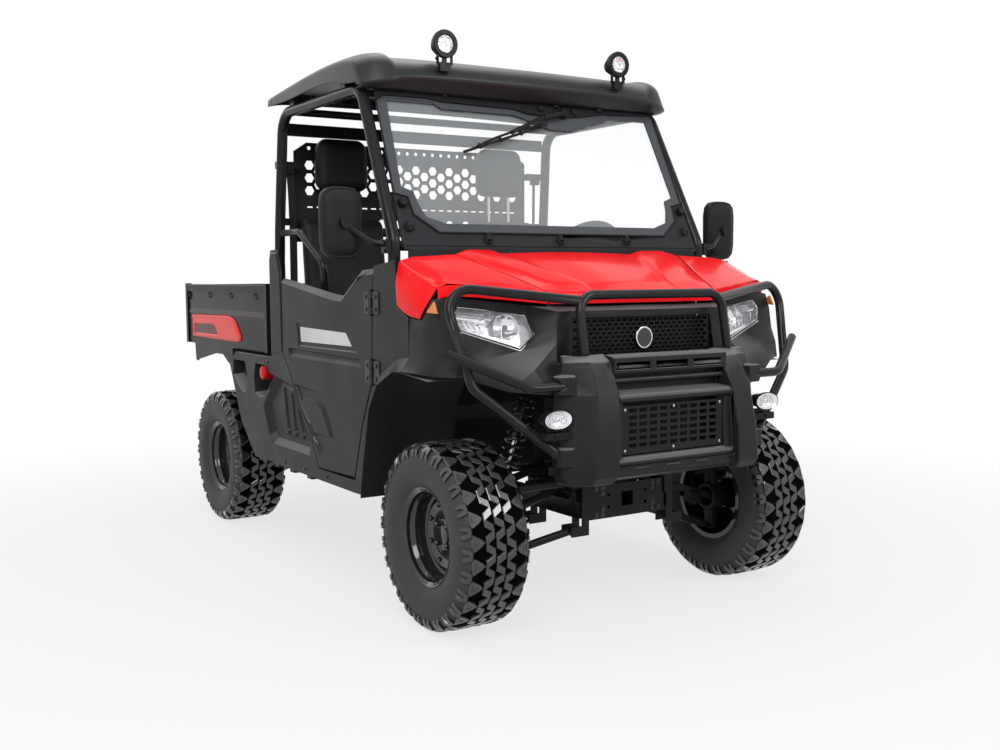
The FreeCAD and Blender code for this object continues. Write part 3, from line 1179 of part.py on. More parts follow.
# ------------------------------------------------------------------ bed
BED_FRONT = 352.0
BED_REAR = 1505.0
BED_FLOOR = 850.0
BED_TOP = 1150.0
BED_HALF = 724.0
BED_WALL = 18.0
BED_SKIRT = [(1432, 852), (1420, 762), (1390, 758), (1370, 768), (1100, 812), (1000, 812), (920, 775), (835, 764),
             (812, 852)]
GATE_T = 24.0
GATE_AXIS = (BED_REAR - 15.0, BED_FLOOR + 12.0)
GATE_PIN_R = 6.0


def bed():
    """Tipping cargo bed: floor, front and side walls, posts, skirts and its under-frame."""
    inner = BED_HALF - BED_WALL
    pieces = [block((-BED_HALF, BED_HALF), (BED_FRONT, BED_REAR - GATE_T - SHUT_GAP), (BED_FLOOR, BED_FLOOR + 4)),
              block((-inner, inner), (BED_FRONT, BED_FRONT + BED_WALL), (BED_FLOOR, BED_TOP))]
    for side in (-1, 1):
        wall = block(sorted((side * inner, side * (BED_HALF - 4))), (BED_FRONT, BED_REAR), (BED_FLOOR, BED_TOP))
        rail = block(sorted((side * inner, side * (BED_HALF + 6))), (BED_FRONT, BED_REAR), (BED_TOP - 36, BED_TOP))
        lower = block(sorted((side * inner, side * BED_HALF)), (BED_FRONT, BED_REAR), (BED_FLOOR, BED_TOP - 78))
        skirt = side_plate(BED_SKIRT, sorted((side * (inner + 2), side * (inner + 6))))
        pieces += [wall, rail, lower, skirt]
        for y in ((BED_FRONT, BED_FRONT + 34), (BED_REAR - 30, BED_REAR)):
            pieces.append(block(sorted((side * inner, side * (BED_HALF + 8))), y, (BED_FLOOR, BED_TOP + 4)))
        beam = sorted((side * (RAIL_X - 20), side * (RAIL_X + 20)))
        pieces.append(block(beam, (BED_FRONT, 1180), (REAR_RAIL_TOP + SEAT_FIT, BED_FLOOR)))
        for lug in (-1, 1):
            near = RAIL_X + lug * 26
            far = RAIL_X + lug * 38
            lug_x = sorted((side * near, side * far))
            pieces.append(block(lug_x, (BED_PIVOT[0] - 20, BED_PIVOT[0] + 20), (BED_PIVOT[1], BED_FLOOR)))
            pieces.append(rod((lug_x[0], *BED_PIVOT), (lug_x[1], *BED_PIVOT), 20))
        pieces.append(rod((side * (RAIL_X - 38), *BED_PIVOT), (side * (RAIL_X + 38), *BED_PIVOT), BED_PIVOT_R))
    for x in (CYL_X - 24, CYL_X + 14):
        pieces.append(block((x, x + 8), (740, 800), (CYL_EYE[1] - 18, BED_FLOOR)))
    pieces.append(rod((CYL_X - 24, *CYL_EYE), (CYL_X + 22, *CYL_EYE), CYL_PIN_R))
    solid = fused(pieces)
    holes = [rod((side * (inner - 6), *GATE_AXIS), (side * (inner + 13), *GATE_AXIS), GATE_PIN_R + PIN_FIT)
             for side in (-1, 1)]
    return solid.cut(Part.makeCompound(holes))


def bed_reflectors():
    """Red moulded panels on the bed's sides."""
    outline = [(1407, 997), (846, 1002), (800, 984), (694, 905), (700, 890), (715, 886), (1400, 880)]
    return both([side_plate(outline, (BED_HALF + SEAT_FIT, BED_HALF + 8))])


def tailgate():
    """Drop-down tailgate with a hinge pin at each end of its lower edge."""
    inner = BED_HALF - BED_WALL - SHUT_GAP
    leaf = block((-inner, inner), (BED_REAR - GATE_T, BED_REAR), (BED_FLOOR + 2, BED_TOP - 2))
    pins = [rod((side * (inner - 20), *GATE_AXIS), (side * (inner + 16), *GATE_AXIS), GATE_PIN_R) for side in (-1, 1)]
    return fused([leaf] + pins)


# ------------------------------------------------------------------ bed lift
CYL_EYE = (760.0, 800.0)
CYL_BARREL_R = 24.0
CYL_ROD_R = 11.0
CYL_EYE_PLAY = 9.0      # the rod's eye drifts round the bed's pin as the bed tips


def cylinder_ears():
    """Cross bar and ears on the frame that hold the lift cylinder's foot."""
    y, z = CYL_PIN
    bar = block((RAIL_W / 2 - RAIL_X, RAIL_X - RAIL_W / 2), (y - 18, y + 18), (RAIL_TOP - 34, RAIL_TOP))
    ears = [block((x, x + 8), (y - 15, y + 15), (RAIL_TOP - 6, z + 14)) for x in (CYL_X - 24, CYL_X + 14)]
    return [bar, rod((CYL_X - 24, y, z), (CYL_X + 22, y, z), CYL_PIN_R)] + ears


def lift_line():
    """Foot of the cylinder, and the direction of its rod."""
    foot = V(CYL_X, *CYL_PIN)
    run = V(CYL_X, *CYL_EYE) - foot
    return foot, V(run.x, run.y, run.z).normalize(), run.Length


def lift_barrel():
    """Barrel of the bed's lift cylinder with its foot eye."""
    foot, along, length = lift_line()
    eye = rod((CYL_X - 13, *CYL_PIN), (CYL_X + 13, *CYL_PIN), 17)
    tube = Part.makeCylinder(CYL_BARREL_R, length - 75, foot + along * 22, along)
    neck = Part.makeCylinder(12, 30, foot, along)
    bore = Part.makeCylinder(CYL_ROD_R + PIN_FIT, length, foot + along * 40, along)
    hole = rod((CYL_X - 20, *CYL_PIN), (CYL_X + 20, *CYL_PIN), CYL_PIN_R + PIN_FIT)
    return fused([eye, tube, neck]).cut(bore.fuse(hole))


def lift_rod():
    """Rod of the lift cylinder, its eye open round the bed's pin."""
    foot, along, length = lift_line()
    bar = Part.makeCylinder(CYL_ROD_R, length - 60, foot + along * 45, along)
    eye = rod((CYL_X - 13, *CYL_EYE), (CYL_X + 13, *CYL_EYE), CYL_PIN_R + CYL_EYE_PLAY + 6)
    hole = rod((CYL_X - 30, *CYL_EYE), (CYL_X + 30, *CYL_EYE), CYL_PIN_R + CYL_EYE_PLAY)
    return bar.fuse(eye).cut(hole)


# ------------------------------------------------------------------ writing the nodes
def write_wheels():
    """Tyre and rim of each wheel in its own node."""
    for name, y in wheel_places():
        for side, suffix in ((1, "left"), (-1, "right")):
            for part_name, make in (("tyre", tyre), ("rim", rim)):
                shape = make()
                if side < 0:
                    shape = mirrored(shape)
                shape.translate(V(side * HALF_TRACK, y, AXLE_Z))
                save("_".join((part_name, name, suffix)), [shape])


def write_body():
    """Everything that is fixed to the chassis."""
    save("frame", [frame()])
    save("floor_pan", [floor_pan()])
    save("front_gearbox", [front_gearbox()])
    save("engine_block", [engine_block()])
    save("suspension_arms", suspension_arms())
    save("shocks", shocks())
    save("rear_carriers", both([carrier(REAR_AXLE_Y)]))
    save("drive_shafts", drive_shafts())
    save("cab_sides", both([cab_side()]))
    save("cab_crossbars", cab_crossbars())
    save("roof", [roof()])
    save("roof_lamps", both([roof_lamp()]))
    save("windscreen_surround", [windscreen_surround()])
    save("windscreen_glass", [windscreen_glass()])
    save("wiper", [wiper()])
    save("cowl_panel", [cowl_panel()])
    save("dashboard", [dashboard()])
    save("rear_screen", [rear_screen()])
    save("seat_cushions", [seat_cushion(side) for side in (-1, 1)])
    save("seat_backs", [seat_back(side) for side in (-1, 1)])
    save("headrests", [headrest(side) for side in (-1, 1)])
    save("wings", both([wing()]))
    save("fascia", [fascia()])
    save("grille", [grille()])
    save("headlamps", both([headlamp()]))
    save("front_fenders", both([front_fender()]))
    save("bumper", [bumper()])
    save("guard_plate", [guard_plate()])
    save("bull_bar", [bull_bar()])
    save("fog_lamps", both([fog_lamp()]))
    save("door_hinges", both(door_hinges()))
    save("side_panels", both([side_panel()]))
    save("mirrors", both([mirror()]))


def write_moving():
    """Pieces that have a joint of their own."""
    save("hood", [hood()])
    save("door_left", [door()])
    save("door_right", [mirrored(door())])
    save("steering_rack", [steering_rack()])
    save("steering_wheel", [steering_wheel()])
    save("knuckle_left", [knuckle()])
    save("knuckle_right", [mirrored(knuckle())])
    save("bed", [bed()])
    save("bed_reflectors", bed_reflectors())
    save("tailgate", [tailgate()])
    save("lift_barrel", [lift_barrel()])
    save("lift_rod", [lift_rod()])


write_wheels()
write_body()
write_moving()
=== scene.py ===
import math

import bmesh
import bpy
from mathutils import Matrix, Vector
from mathutils.geometry import tessellate_polygon


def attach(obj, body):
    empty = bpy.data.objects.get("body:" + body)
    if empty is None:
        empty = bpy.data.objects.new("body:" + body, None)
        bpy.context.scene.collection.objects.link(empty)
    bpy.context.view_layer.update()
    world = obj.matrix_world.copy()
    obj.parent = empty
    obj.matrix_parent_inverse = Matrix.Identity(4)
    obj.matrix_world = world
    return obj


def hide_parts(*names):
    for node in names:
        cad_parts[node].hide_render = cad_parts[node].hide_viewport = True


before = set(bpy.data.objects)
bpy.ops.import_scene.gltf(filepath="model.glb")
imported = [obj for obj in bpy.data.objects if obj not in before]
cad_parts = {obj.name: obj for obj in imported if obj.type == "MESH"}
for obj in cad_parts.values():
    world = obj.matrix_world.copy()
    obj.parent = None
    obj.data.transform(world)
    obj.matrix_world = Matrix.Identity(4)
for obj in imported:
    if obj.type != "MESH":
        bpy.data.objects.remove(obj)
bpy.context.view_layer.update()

# ---------------------------------------------------------------- chassis frame
# Welded square tube: two rails, cross bars, sills, shock towers and the two receivers.
# Powder-coated black; each cut end keeps its crisp edge, with a small weld radius.


def finish_of(name, colour, gloss=(0.42, 0.56), metallic=0.0, coat=0.0, mottle=0.16, patch=7.0, grain=700.0,
              depth=0.00025, specular=0.14, dust=None, pale=0.0):
    """Material with mottled colour, uneven gloss, a fine grain, random dust patches and a painted highlight
    that lightens faces that look up.
    """
    material = bpy.data.materials.new(name)
    material.use_nodes = True
    tree = material.node_tree
    shader = tree.nodes["Principled BSDF"]
    shader.inputs["Metallic"].default_value = metallic
    shader.inputs["Coat Weight"].default_value = coat
    shader.inputs["Coat Roughness"].default_value = 0.06
    shader.inputs["Specular IOR Level"].default_value = specular
    place = tree.nodes.new("ShaderNodeTexCoord")
    cloud = tree.nodes.new("ShaderNodeTexNoise")
    cloud.inputs["Scale"].default_value = patch
    cloud.inputs["Detail"].default_value = 6.0
    cloud.inputs["Roughness"].default_value = 0.62
    tree.links.new(place.outputs["Object"], cloud.inputs["Vector"])
    tones = tree.nodes.new("ShaderNodeValToRGB")
    low, high = tones.color_ramp.elements
    low.position, high.position = 0.3, 0.72
    low.color = [c * (1 - mottle) for c in colour] + [1]
    high.color = [min(1, c * (1 + mottle)) for c in colour] + [1]
    if dust:
        film = tones.color_ramp.elements.new(0.86)
        film.color = [c * (1 - dust[1]) + d * dust[1] for c, d in zip(colour, dust[0])] + [1]
    tree.links.new(cloud.outputs["Fac"], tones.inputs["Fac"])
    # Painted highlight: the more a face looks up, the more its colour is mixed towards light grey, standing
    # in for the sheen of the top light.
    facing = tree.nodes.new("ShaderNodeNewGeometry")
    parts = tree.nodes.new("ShaderNodeSeparateXYZ")
    highlight_share = tree.nodes.new("ShaderNodeMapRange")
    highlight_share.inputs["From Min"].default_value, highlight_share.inputs["From Max"].default_value = 0.42, 0.78
    highlight_share.inputs["To Max"].default_value = pale
    highlight_mix = tree.nodes.new("ShaderNodeMix")
    highlight_mix.data_type = "RGBA"
    highlight_mix.inputs[7].default_value = (0.26, 0.265, 0.275, 1)
    tree.links.new(facing.outputs["Normal"], parts.inputs["Vector"])
    tree.links.new(parts.outputs["Z"], highlight_share.inputs["Value"])
    tree.links.new(highlight_share.outputs["Result"], highlight_mix.inputs[0])
    tree.links.new(tones.outputs["Color"], highlight_mix.inputs[6])
    tree.links.new(highlight_mix.outputs[2], shader.inputs["Base Color"])
    sheen = tree.nodes.new("ShaderNodeMapRange")
    sheen.inputs["From Min"].default_value = 0.3
    sheen.inputs["From Max"].default_value = 0.7
    sheen.inputs["To Min"].default_value, sheen.inputs["To Max"].default_value = gloss
    tree.links.new(cloud.outputs["Fac"], sheen.inputs["Value"])
    tree.links.new(sheen.outputs["Result"], shader.inputs["Roughness"])
    pits = tree.nodes.new("ShaderNodeTexNoise")
    pits.inputs["Scale"].default_value = grain
    pits.inputs["Detail"].default_value = 2.0
    tree.links.new(place.outputs["Object"], pits.inputs["Vector"])
    bump = tree.nodes.new("ShaderNodeBump")
    bump.inputs["Strength"].default_value = 0.5
    bump.inputs["Distance"].default_value = depth
    tree.links.new(pits.outputs["Fac"], bump.inputs["Height"])
    tree.links.new(bump.outputs["Normal"], shader.inputs["Normal"])
    return material


def from_solid(node, name):
    """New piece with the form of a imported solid, its flat faces in one."""
    form = bmesh.new()
    form.from_mesh(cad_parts[node].data)
    bmesh.ops.remove_doubles(form, verts=form.verts, dist=2e-5)
    bmesh.ops.dissolve_limit(form, angle_limit=math.radians(0.7), verts=form.verts, edges=form.edges)
    mesh = bpy.data.meshes.new(name)
    form.to_mesh(mesh)
    form.free()
    piece = bpy.data.objects.new(name, mesh)
    bpy.context.scene.collection.objects.link(piece)
    return piece


def round_edges(piece, width, segments=2, over=32):
    """Smooth faces, with a small radius on every edge sharper than the angle."""
    piece.data.shade_smooth()
    piece.data.set_sharp_from_angle(angle=math.radians(over))
    if width:
        radius = piece.modifiers.new("radius", "BEVEL")
        radius.width = width
        radius.segments = segments
        radius.limit_method = "ANGLE"
        radius.angle_limit = math.radians(over)
        radius.use_clamp_overlap = False
        radius.harden_normals = True
    return piece


def fit(piece, material, body, slot, *nodes):
    """Paints a piece and fixes it to its body, in the place of its solids."""
    piece.data.materials.clear()
    piece.data.materials.append(material)
    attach(piece, body)
    if nodes:
        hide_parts(*nodes)
    return piece


def dress(node, name, width, material, body, slot, **rounding):
    """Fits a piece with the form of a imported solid, in that solid's place."""
    return fit(round_edges(from_solid(node, name), width, **rounding), material, body, slot, node)


powder_black = finish_of("powder_coat_black", (0.012, 0.012, 0.013), gloss=(0.3, 0.42), grain=900,
                         depth=0.0002, dust=((0.20, 0.19, 0.17), 0.06))
dress("frame", "chassis", 0.0015, powder_black, "root", "frame_black")


def put(name, *forms):
    """Piece made of several (points, faces) forms."""
    points, faces = [], []
    for some_points, some_faces in forms:
        start = len(points)
        points += [tuple(p) for p in some_points]
        faces += [tuple(i + start for i in face) for face in some_faces]
    mesh = bpy.data.meshes.new(name)
    mesh.from_pydata(points, [], faces)
    form = bmesh.new()
    form.from_mesh(mesh)
    bmesh.ops.recalc_face_normals(form, faces=form.faces)
    form.to_mesh(mesh)
    form.free()
    piece = bpy.data.objects.new(name, mesh)
    bpy.context.scene.collection.objects.link(piece)
    return piece


def make(name, forms, width, material, body, slot, *nodes, **rounding):
    """Fits a piece made of several forms."""
    return fit(round_edges(put(name, *forms), width, **rounding), material, body, slot, *nodes)


def turned(profile, steps, start, along, closed=True):
    """Form turned about a line: the profile is (distance along it, radius)."""
    spin = Vector(along).normalized().to_track_quat("X", "Z").to_matrix()
    start = Vector(start)
    points, faces = [], []
    count = len(profile)
    for step in range(steps):
        angle = 2 * math.pi * step / steps
        for run, radius in profile:
            points.append(start + spin @ Vector((run, radius * math.cos(angle), radius * math.sin(angle))))
        after = (step + 1) % steps
        for i in range(count if closed else count - 1):
            j = (i + 1) % count
            faces.append((step * count + i, step * count + j, after * count + j, after * count + i))
    return points, faces


def bolt(at, out, radius=0.007, height=0.006):
    """Hexagon head on a washer."""
    washer = turned([(-0.001, 0.0001), (-0.001, radius * 1.7), (height * 0.25, radius * 1.7),
                     (height * 0.3, radius * 1.5), (height * 0.3, 0.0001)], 20, at, out)
    head = turned([(height * 0.2, 0.0001), (height * 0.2, radius * 1.15), (height * 0.9, radius * 1.15),
                   (height, radius), (height, 0.0001)], 6, at, out)
    return [washer, head]


zinc = finish_of("zinc_bolts", (0.42, 0.41, 0.37), gloss=(0.28, 0.42), metallic=1.0, grain=1500,
                 depth=0.0001)
black_steel = finish_of("black_bolts", (0.05, 0.05, 0.052), gloss=(0.25, 0.38), metallic=0.8, grain=1500,
                        depth=0.0001)
heads = []
for x in (-0.140, -0.112, 0.112, 0.140):
    for z in (0.345, 0.365, 0.421, 0.441):
        if abs(x) < 0.12 or z < 0.35 or z > 0.44:
            heads += bolt((x, -1.2185, z), (0, -1, 0), 0.0055, 0.005)
for side in (-1, 1):
    for y in (-1.19, -1.15, 0.76, 1.14):
        for z in (0.43, 0.62):
            heads += bolt((side * 0.2105, y, z), (side, 0, 0), 0.006, 0.006)
make("chassis_bolts", heads, 0, black_steel, "root", "frame_black", over=30)

# ---------------------------------------------------------------- engine, clutch housing and gearboxes
# Cast aluminium cases behind and below the seats, and the small front gearbox.
# Shown as plain cases with cast ribs.
cast_grey = finish_of("cast_aluminium", (0.20, 0.20, 0.205), gloss=(0.42, 0.6), metallic=0.75, patch=16,
                      grain=420, depth=0.0005, dust=((0.25, 0.22, 0.18), 0.3))


def box_form(x, y, z):
    """Box between pairs of coordinates."""
    points = [(a, b, c) for a in sorted(x) for b in y for c in z]
    return points, [(0, 1, 3, 2), (4, 6, 7, 5), (0, 4, 5, 1), (2, 3, 7, 6), (0, 2, 6, 4), (1, 5, 7, 3)]


dress("engine_block", "engine_case", 0.008, cast_grey, "root", "engine_grey", segments=3)
dress("front_gearbox", "front_gear_case", 0.008, cast_grey, "root", "engine_grey", segments=3)
fins = [box_form((side * 0.150, side * 0.154), (y, y + 0.006), (0.40, 0.70)) for side in (-1, 1)
        for y in [0.14 + 0.03 * n for n in range(14)]]
make("engine_ribs", fins, 0.001, cast_grey, "root", "engine_grey")

# ---------------------------------------------------------------- arms, carriers, knuckles and shafts
# Double wishbones of round tube, cast uprights and half shafts with ribbed rubber boots.
# The knuckles turn on their ball joints; everything else rides on the chassis.
dark_cast = finish_of("dark_casting", (0.022, 0.022, 0.023), gloss=(0.4, 0.6), metallic=0.35, patch=14,
                      grain=380, depth=0.0006, dust=((0.16, 0.14, 0.12), 0.35))
boot_rubber = finish_of("boot_rubber", (0.012, 0.012, 0.012), gloss=(0.5, 0.68), patch=12, grain=600)
dress("suspension_arms", "wishbones", 0.0012, powder_black, "root", "frame_black")
dress("rear_carriers", "rear_uprights", 0.0025, dark_cast, "root", "steel_dark")
dress("drive_shafts", "half_shafts", 0.001, dark_cast, "root", "steel_dark")
for side in ("left", "right"):
    dress("knuckle_" + side, "steering_knuckle_" + side, 0.0025, dark_cast, "knuckle_" + side, "steel_dark")
dress("steering_rack", "rack_bar", 0.001, dark_cast, "steering_rack", "steel_dark")
FRONT_AXLE_Y, REAR_AXLE_Y = -1.065, 1.015
WHEEL_X, WHEEL_Z = 0.633, 0.317
boots = []
for axle in (FRONT_AXLE_Y, REAR_AXLE_Y):
    for side in (-1, 1):
        run = Vector((side * (0.470 - 0.085), 0, WHEEL_Z - 0.460))
        start = Vector((side * 0.085, axle, 0.460))
        ribs = []
        for n in range(7):
            ribs += [(n * 0.012, 0.034 - n * 0.002), (n * 0.012 + 0.006, 0.024 - n * 0.001)]
        boots.append(turned([(-0.004, 0.015)] + ribs + [(0.088, 0.015)], 28, start, run))
        boots.append(turned([(-0.004, 0.015)] + ribs[:10] + [(0.068, 0.015)], 28, start + run * 0.97, -run))
make("shaft_boots", boots, 0, boot_rubber, "root", "wiper_rubber", over=60)

# ---------------------------------------------------------------- shock absorbers
# Gas damper with a black coil spring between two seats, an eye at each end.
# The spring wire is wound as a real helix with closed end turns.


def walls(count, layers):
    """Faces between successive rings of count points each."""
    return [(k * count + n, k * count + (n + 1) % count, (k + 1) * count + (n + 1) % count,
             (k + 1) * count + n)
            for k in range(layers) for n in range(count)]


def swept(points, radius, sides=10, capped=True):
    """Round bar along a line of points."""
    path = [Vector(p) for p in points]
    rings = []
    up = None
    for i, here in enumerate(path):
        ahead = (path[min(i + 1, len(path) - 1)] - path[max(i - 1, 0)]).normalized()
        if up is None:
            up = ahead.orthogonal().normalized()
        up = (up - ahead * up.dot(ahead)).normalized()
        other = ahead.cross(up)
        for k in range(sides):
            angle = 2 * math.pi * k / sides
            rings.append(here + (up * math.cos(angle) + other * math.sin(angle)) * radius)
    faces = walls(sides, len(path) - 1)
    if capped:
        faces.append(tuple(range(sides))[::-1])
        faces.append(tuple((len(path) - 1) * sides + k for k in range(sides)))
    return rings, faces


spring_paint = finish_of("spring_enamel", (0.02, 0.02, 0.022), gloss=(0.16, 0.26), coat=0.24, grain=900,
                         depth=0.0001)
damper_steel = finish_of("damper_steel", (0.55, 0.55, 0.56), gloss=(0.18, 0.3), metallic=1.0, grain=1600,
                         depth=0.0001)
wires, dampers = [], []
for axle, top_z in ((FRONT_AXLE_Y, 0.7847), (REAR_AXLE_Y, 0.7547)):
    for side in (-1, 1):
        foot = Vector((side * 0.410, axle + 0.020, 0.4786))
        top = Vector((side * 0.305, axle + 0.020, top_z))
        line = (top - foot).normalized()
        length = (top - foot).length
        across = line.cross(Vector((0, 1, 0))).normalized()
        along_y = line.cross(across)
        turns = []
        for n in range(197):
            share = n / 196
            angle = 2 * math.pi * 8 * share
            rise = length * (0.17 + 0.70 * (share * 0.94 + 0.03 * (1 - math.cos(math.pi * share))))
            turns.append(foot + line * rise + (across * math.cos(angle)
                                               + along_y * math.sin(angle)) * 0.0325)
        wires.append(swept(turns, 0.0058, 8))
        seat = [(0, 0.012), (0, 0.040), (0.006, 0.040), (0.010, 0.030), (0.010, 0.012)]
        wires.append(turned(seat, 28, foot + line * length * 0.14, line))
        wires.append(turned(seat, 28, foot + line * length * 0.895, -line))
        wires.append(turned([(0, 0.010), (0, 0.021), (length * 0.40, 0.021), (length * 0.41, 0.014)], 24,
                            foot + line * length * 0.45, line))
        dampers.append(turned([(0, 0.0005), (0, 0.009), (length * 0.42, 0.009), (length * 0.42, 0.0005)],
                              20,
                              foot + line * length * 0.10, line))
        for end in (foot + line * 0.012, top - line * 0.012):
            eye = [(-0.017, 0.008), (-0.017, 0.0165), (0.017, 0.0165), (0.017, 0.008)]
            wires.append(turned(eye, 22, end, (0, 1, 0)))
            dampers.append(turned([(-0.0175, 0.0005), (-0.0175, 0.0078), (0.0175, 0.0078),
                                   (0.0175, 0.0005)], 6, end,
                                  (0, 1, 0)))
make("coil_springs", wires, 0, spring_paint, "root", "spring_black", "shocks", over=40)
make("damper_rods", dampers, 0, damper_steel, "root", "rod_chrome", over=40)

# ---------------------------------------------------------------- tyres
# All-terrain tyres: a carcass with ribbed shoulders and separate rubber tread blocks.
# Three zigzag rows in the middle, a triangular block and a shoulder lug on each side.
tyre_rubber = finish_of("tyre_rubber", (0.008, 0.008, 0.0085), gloss=(0.10, 0.24), specular=0.9, patch=11,
                        grain=500, depth=0.0002, pale=0.16, dust=((0.13, 0.11, 0.10), 0.35))
sidewall_rubber = finish_of("sidewall_rubber", (0.056, 0.053, 0.051), gloss=(0.42, 0.62), patch=9,
                            grain=260, depth=0.0005, dust=((0.13, 0.11, 0.10), 0.4))
PITCHES = 26
TREAD_R = 0.3165
half_carcass = [(0.0975, 0.158), (0.1005, 0.168), (0.1035, 0.172), (0.110, 0.181), (0.1165, 0.190),
                (0.1205, 0.203),
                (0.1232, 0.217), (0.1242, 0.232), (0.1238, 0.246), (0.1222, 0.257), (0.1198, 0.266),
                (0.1182, 0.270),
                (0.1180, 0.278), (0.1140, 0.289), (0.1070, 0.298), (0.0980, 0.3035), (0.080, 0.3060),
                (0.040, 0.3070)]


def crown(x):
    """Radius of the tread's surface at a distance from the tyre's middle."""
    past = max(0.0, abs(x) - 0.045)
    return TREAD_R - past * past * 1.35


def tread_block(corners, turn, foot=0.3050, chamfer=0.0022):
    """Rubber block with chamfered edges; corners are (across, along the tread)."""
    middle = sum((Vector(c) for c in corners), Vector((0, 0))) / len(corners)
    rings = []
    for height, shrink in ((-0.004, 1.06), (0.62, 1.0), (1.0, None)):
        ring = []
        for x, s in corners:
            if shrink is None:
                away = Vector((x, s)) - middle
                x, s = middle + away * max(0.2, 1 - chamfer * 1.5 / max(away.length, 1e-6))
                radius = crown(x)
            else:
                x, s = middle + (Vector((x, s)) - middle) * shrink
                radius = foot + (crown(x) - 0.0018 - foot) * (0 if height < 0 else 1)
            angle = turn + s / TREAD_R
            ring.append((x, radius * math.sin(angle), radius * math.cos(angle)))
        rings.append(ring)
    n = len(corners)
    faces = walls(n, 2) + [tuple(2 * n + i for i in range(n))]
    return [p for ring in rings for p in ring], faces


def shoulder_lug(side, turn):
    """Lug wrapped over the shoulder and down the sidewall, split at its outer end."""
    forms = []
    for shift in (-0.0155, 0.0155):
        inner = [(0.1020, 0.3030), (0.1155, 0.2890), (0.1185, 0.2770), (0.1170, 0.2700)]
        outer = [(0.1045, 0.3105), (0.1200, 0.2955), (0.1240, 0.2780), (0.1215, 0.2700)]
        widths = [0.0115, 0.0095, 0.0075, 0.0060]
        centre = [shift * 0.35, shift * 0.9, shift, shift]
        points = []
        for (xi, ri), (xo, ro), w, c in zip(inner, outer, widths, centre):
            for x, r, s in ((xi, ri, c - w), (xo, ro, c - w * 0.8), (xo, ro, c + w * 0.8), (xi, ri, c + w)):
                angle = turn + s / TREAD_R
                points.append((side * x, r * math.sin(angle), r * math.cos(angle)))
        forms.append((points, walls(4, 3) + [(0, 1, 2, 3), (12, 13, 14, 15)]))
    return forms


pitch = 2 * math.pi * TREAD_R / PITCHES
carcass_rows = half_carcass + [(-x, r) for x, r in reversed(half_carcass)]
tread = []
for n in range(PITCHES):
    turn = 2 * math.pi * n / PITCHES
    for side, lead in ((1, 0.0), (-1, 0.5)):
        own_turn = turn + lead * 2 * math.pi / PITCHES
        tread += shoulder_lug(side, own_turn + 0.5 * 2 * math.pi / PITCHES)
        triangle = [(side * 0.0590, 0.0), (side * 0.0700, -0.012), (side * 0.1000, -0.029),
                    (side * 0.1035, -0.020),
                    (side * 0.1035, 0.020), (side * 0.1000, 0.029), (side * 0.0700, 0.012)]
        tread.append(tread_block(triangle, own_turn))
    for column, (near, far) in enumerate(((-0.0560, -0.0215), (-0.0175, 0.0175), (0.0215, 0.0560))):
        for row in (0, 1):
            slant = 0.0105 if row else -0.0105
            base = (row - 0.5) * pitch * 0.5 + (column - 1) * 0.006
            half = pitch * 0.175
            block = [(near, base - half - slant), (far, base - half + slant), (far, base + half + slant),
                     (near, base + half - slant)]
            tread.append(tread_block(block, turn + math.pi / PITCHES))
ribs = []
for side in (-1, 1):
    for n in range(78):
        angle = 2 * math.pi * n / 78
        out, up = Vector((side, 0, 0)), Vector((0, math.sin(angle), math.cos(angle)))
        across = out.cross(up)
        foot = up * 0.1935 + out * 0.1158
        tip = up * 0.2185 + out * 0.1226
        points = [foot - across * 0.0011, foot + across * 0.0011, tip + across * 0.0013,
                  tip - across * 0.0013]
        points += [p + out * 0.0012 for p in points]
        ribs.append((points, [(4, 5, 6, 7), (0, 1, 5, 4), (1, 2, 6, 5), (2, 3, 7, 6), (3, 0, 4, 7)]))
triangle_marks = []
for n in range(PITCHES):
    for side, lead in ((1, 0.0), (-1, 0.5)):
        turn = 2 * math.pi * (n + lead) / PITCHES
        x = 0.0905
        corners = [(side * (x - 0.013), 0.0), (side * (x + 0.006), -0.012), (side * (x + 0.006), 0.012)]
        ring = []
        for grow, lift in ((1.0, -0.0010), (1.0, 0.0009), (0.62, 0.0009), (0.62, -0.0010)):
            for cx, cs in corners:
                cx, cs = side * x + (cx - side * x) * grow, cs * grow
                angle = turn + cs / TREAD_R
                radius = crown(cx) + lift
                ring.append((cx, radius * math.sin(angle), radius * math.cos(angle)))
        triangle_marks.append((ring, walls(3, 3)))


def ring_rows(rows, steps):
    """Closed ring turned about the X axis."""
    return turned(rows, steps, (0, 0, 0), (1, 0, 0))


def copy_at(mesh, name, centre, flip=False):
    """Another piece with the same mesh at a wheel's place."""
    own = mesh.copy()
    turn = Matrix.Rotation(math.pi if flip else 0.0, 4, "Z")
    own.transform(Matrix.Translation(centre) @ turn)
    piece = bpy.data.objects.new(name, own)
    bpy.context.scene.collection.objects.link(piece)
    return piece


wheel_centres = {place + word: (side * WHEEL_X, axle, WHEEL_Z)
                 for place, axle in (("front_", FRONT_AXLE_Y), ("rear_", REAR_AXLE_Y))
                 for word, side in (("left", 1), ("right", -1))}
carcass = round_edges(put("carcass_pattern", ring_rows(carcass_rows, 96), *ribs), 0, over=50).data
blocks = round_edges(put("tread_pattern", *tread, *triangle_marks), 0, over=28).data
for corner, centre in wheel_centres.items():
    flip = corner.endswith("right")
    body = "wheel_" + corner
    fit(copy_at(carcass, "tyre_carcass_" + corner, centre, flip), sidewall_rubber, body, "tyre_rubber",
        "tyre_" + corner)
    fit(copy_at(blocks, "tyre_tread_" + corner, centre, flip), tyre_rubber, body, "tyre_rubber")
# Painted shade: a near-black, barely reflecting ring over the carcass between the tread blocks, so the
# grooves read as deep shadow.
groove_black = finish_of("groove_black", (0.002, 0.002, 0.002), gloss=(0.85, 0.95), patch=12, grain=300,
                         specular=0.02)
groove_side = [(0.0975, 0.3046), (0.080, 0.3068), (0.040, 0.3078)]
groove_rows = groove_side + [(-x, r) for x, r in reversed(groove_side)]
groove_rows += [(-0.096, 0.3030), (0.096, 0.3030)]
groove_shade_ring = round_edges(put("groove_pattern", ring_rows(groove_rows, 96)), 0, over=60).data
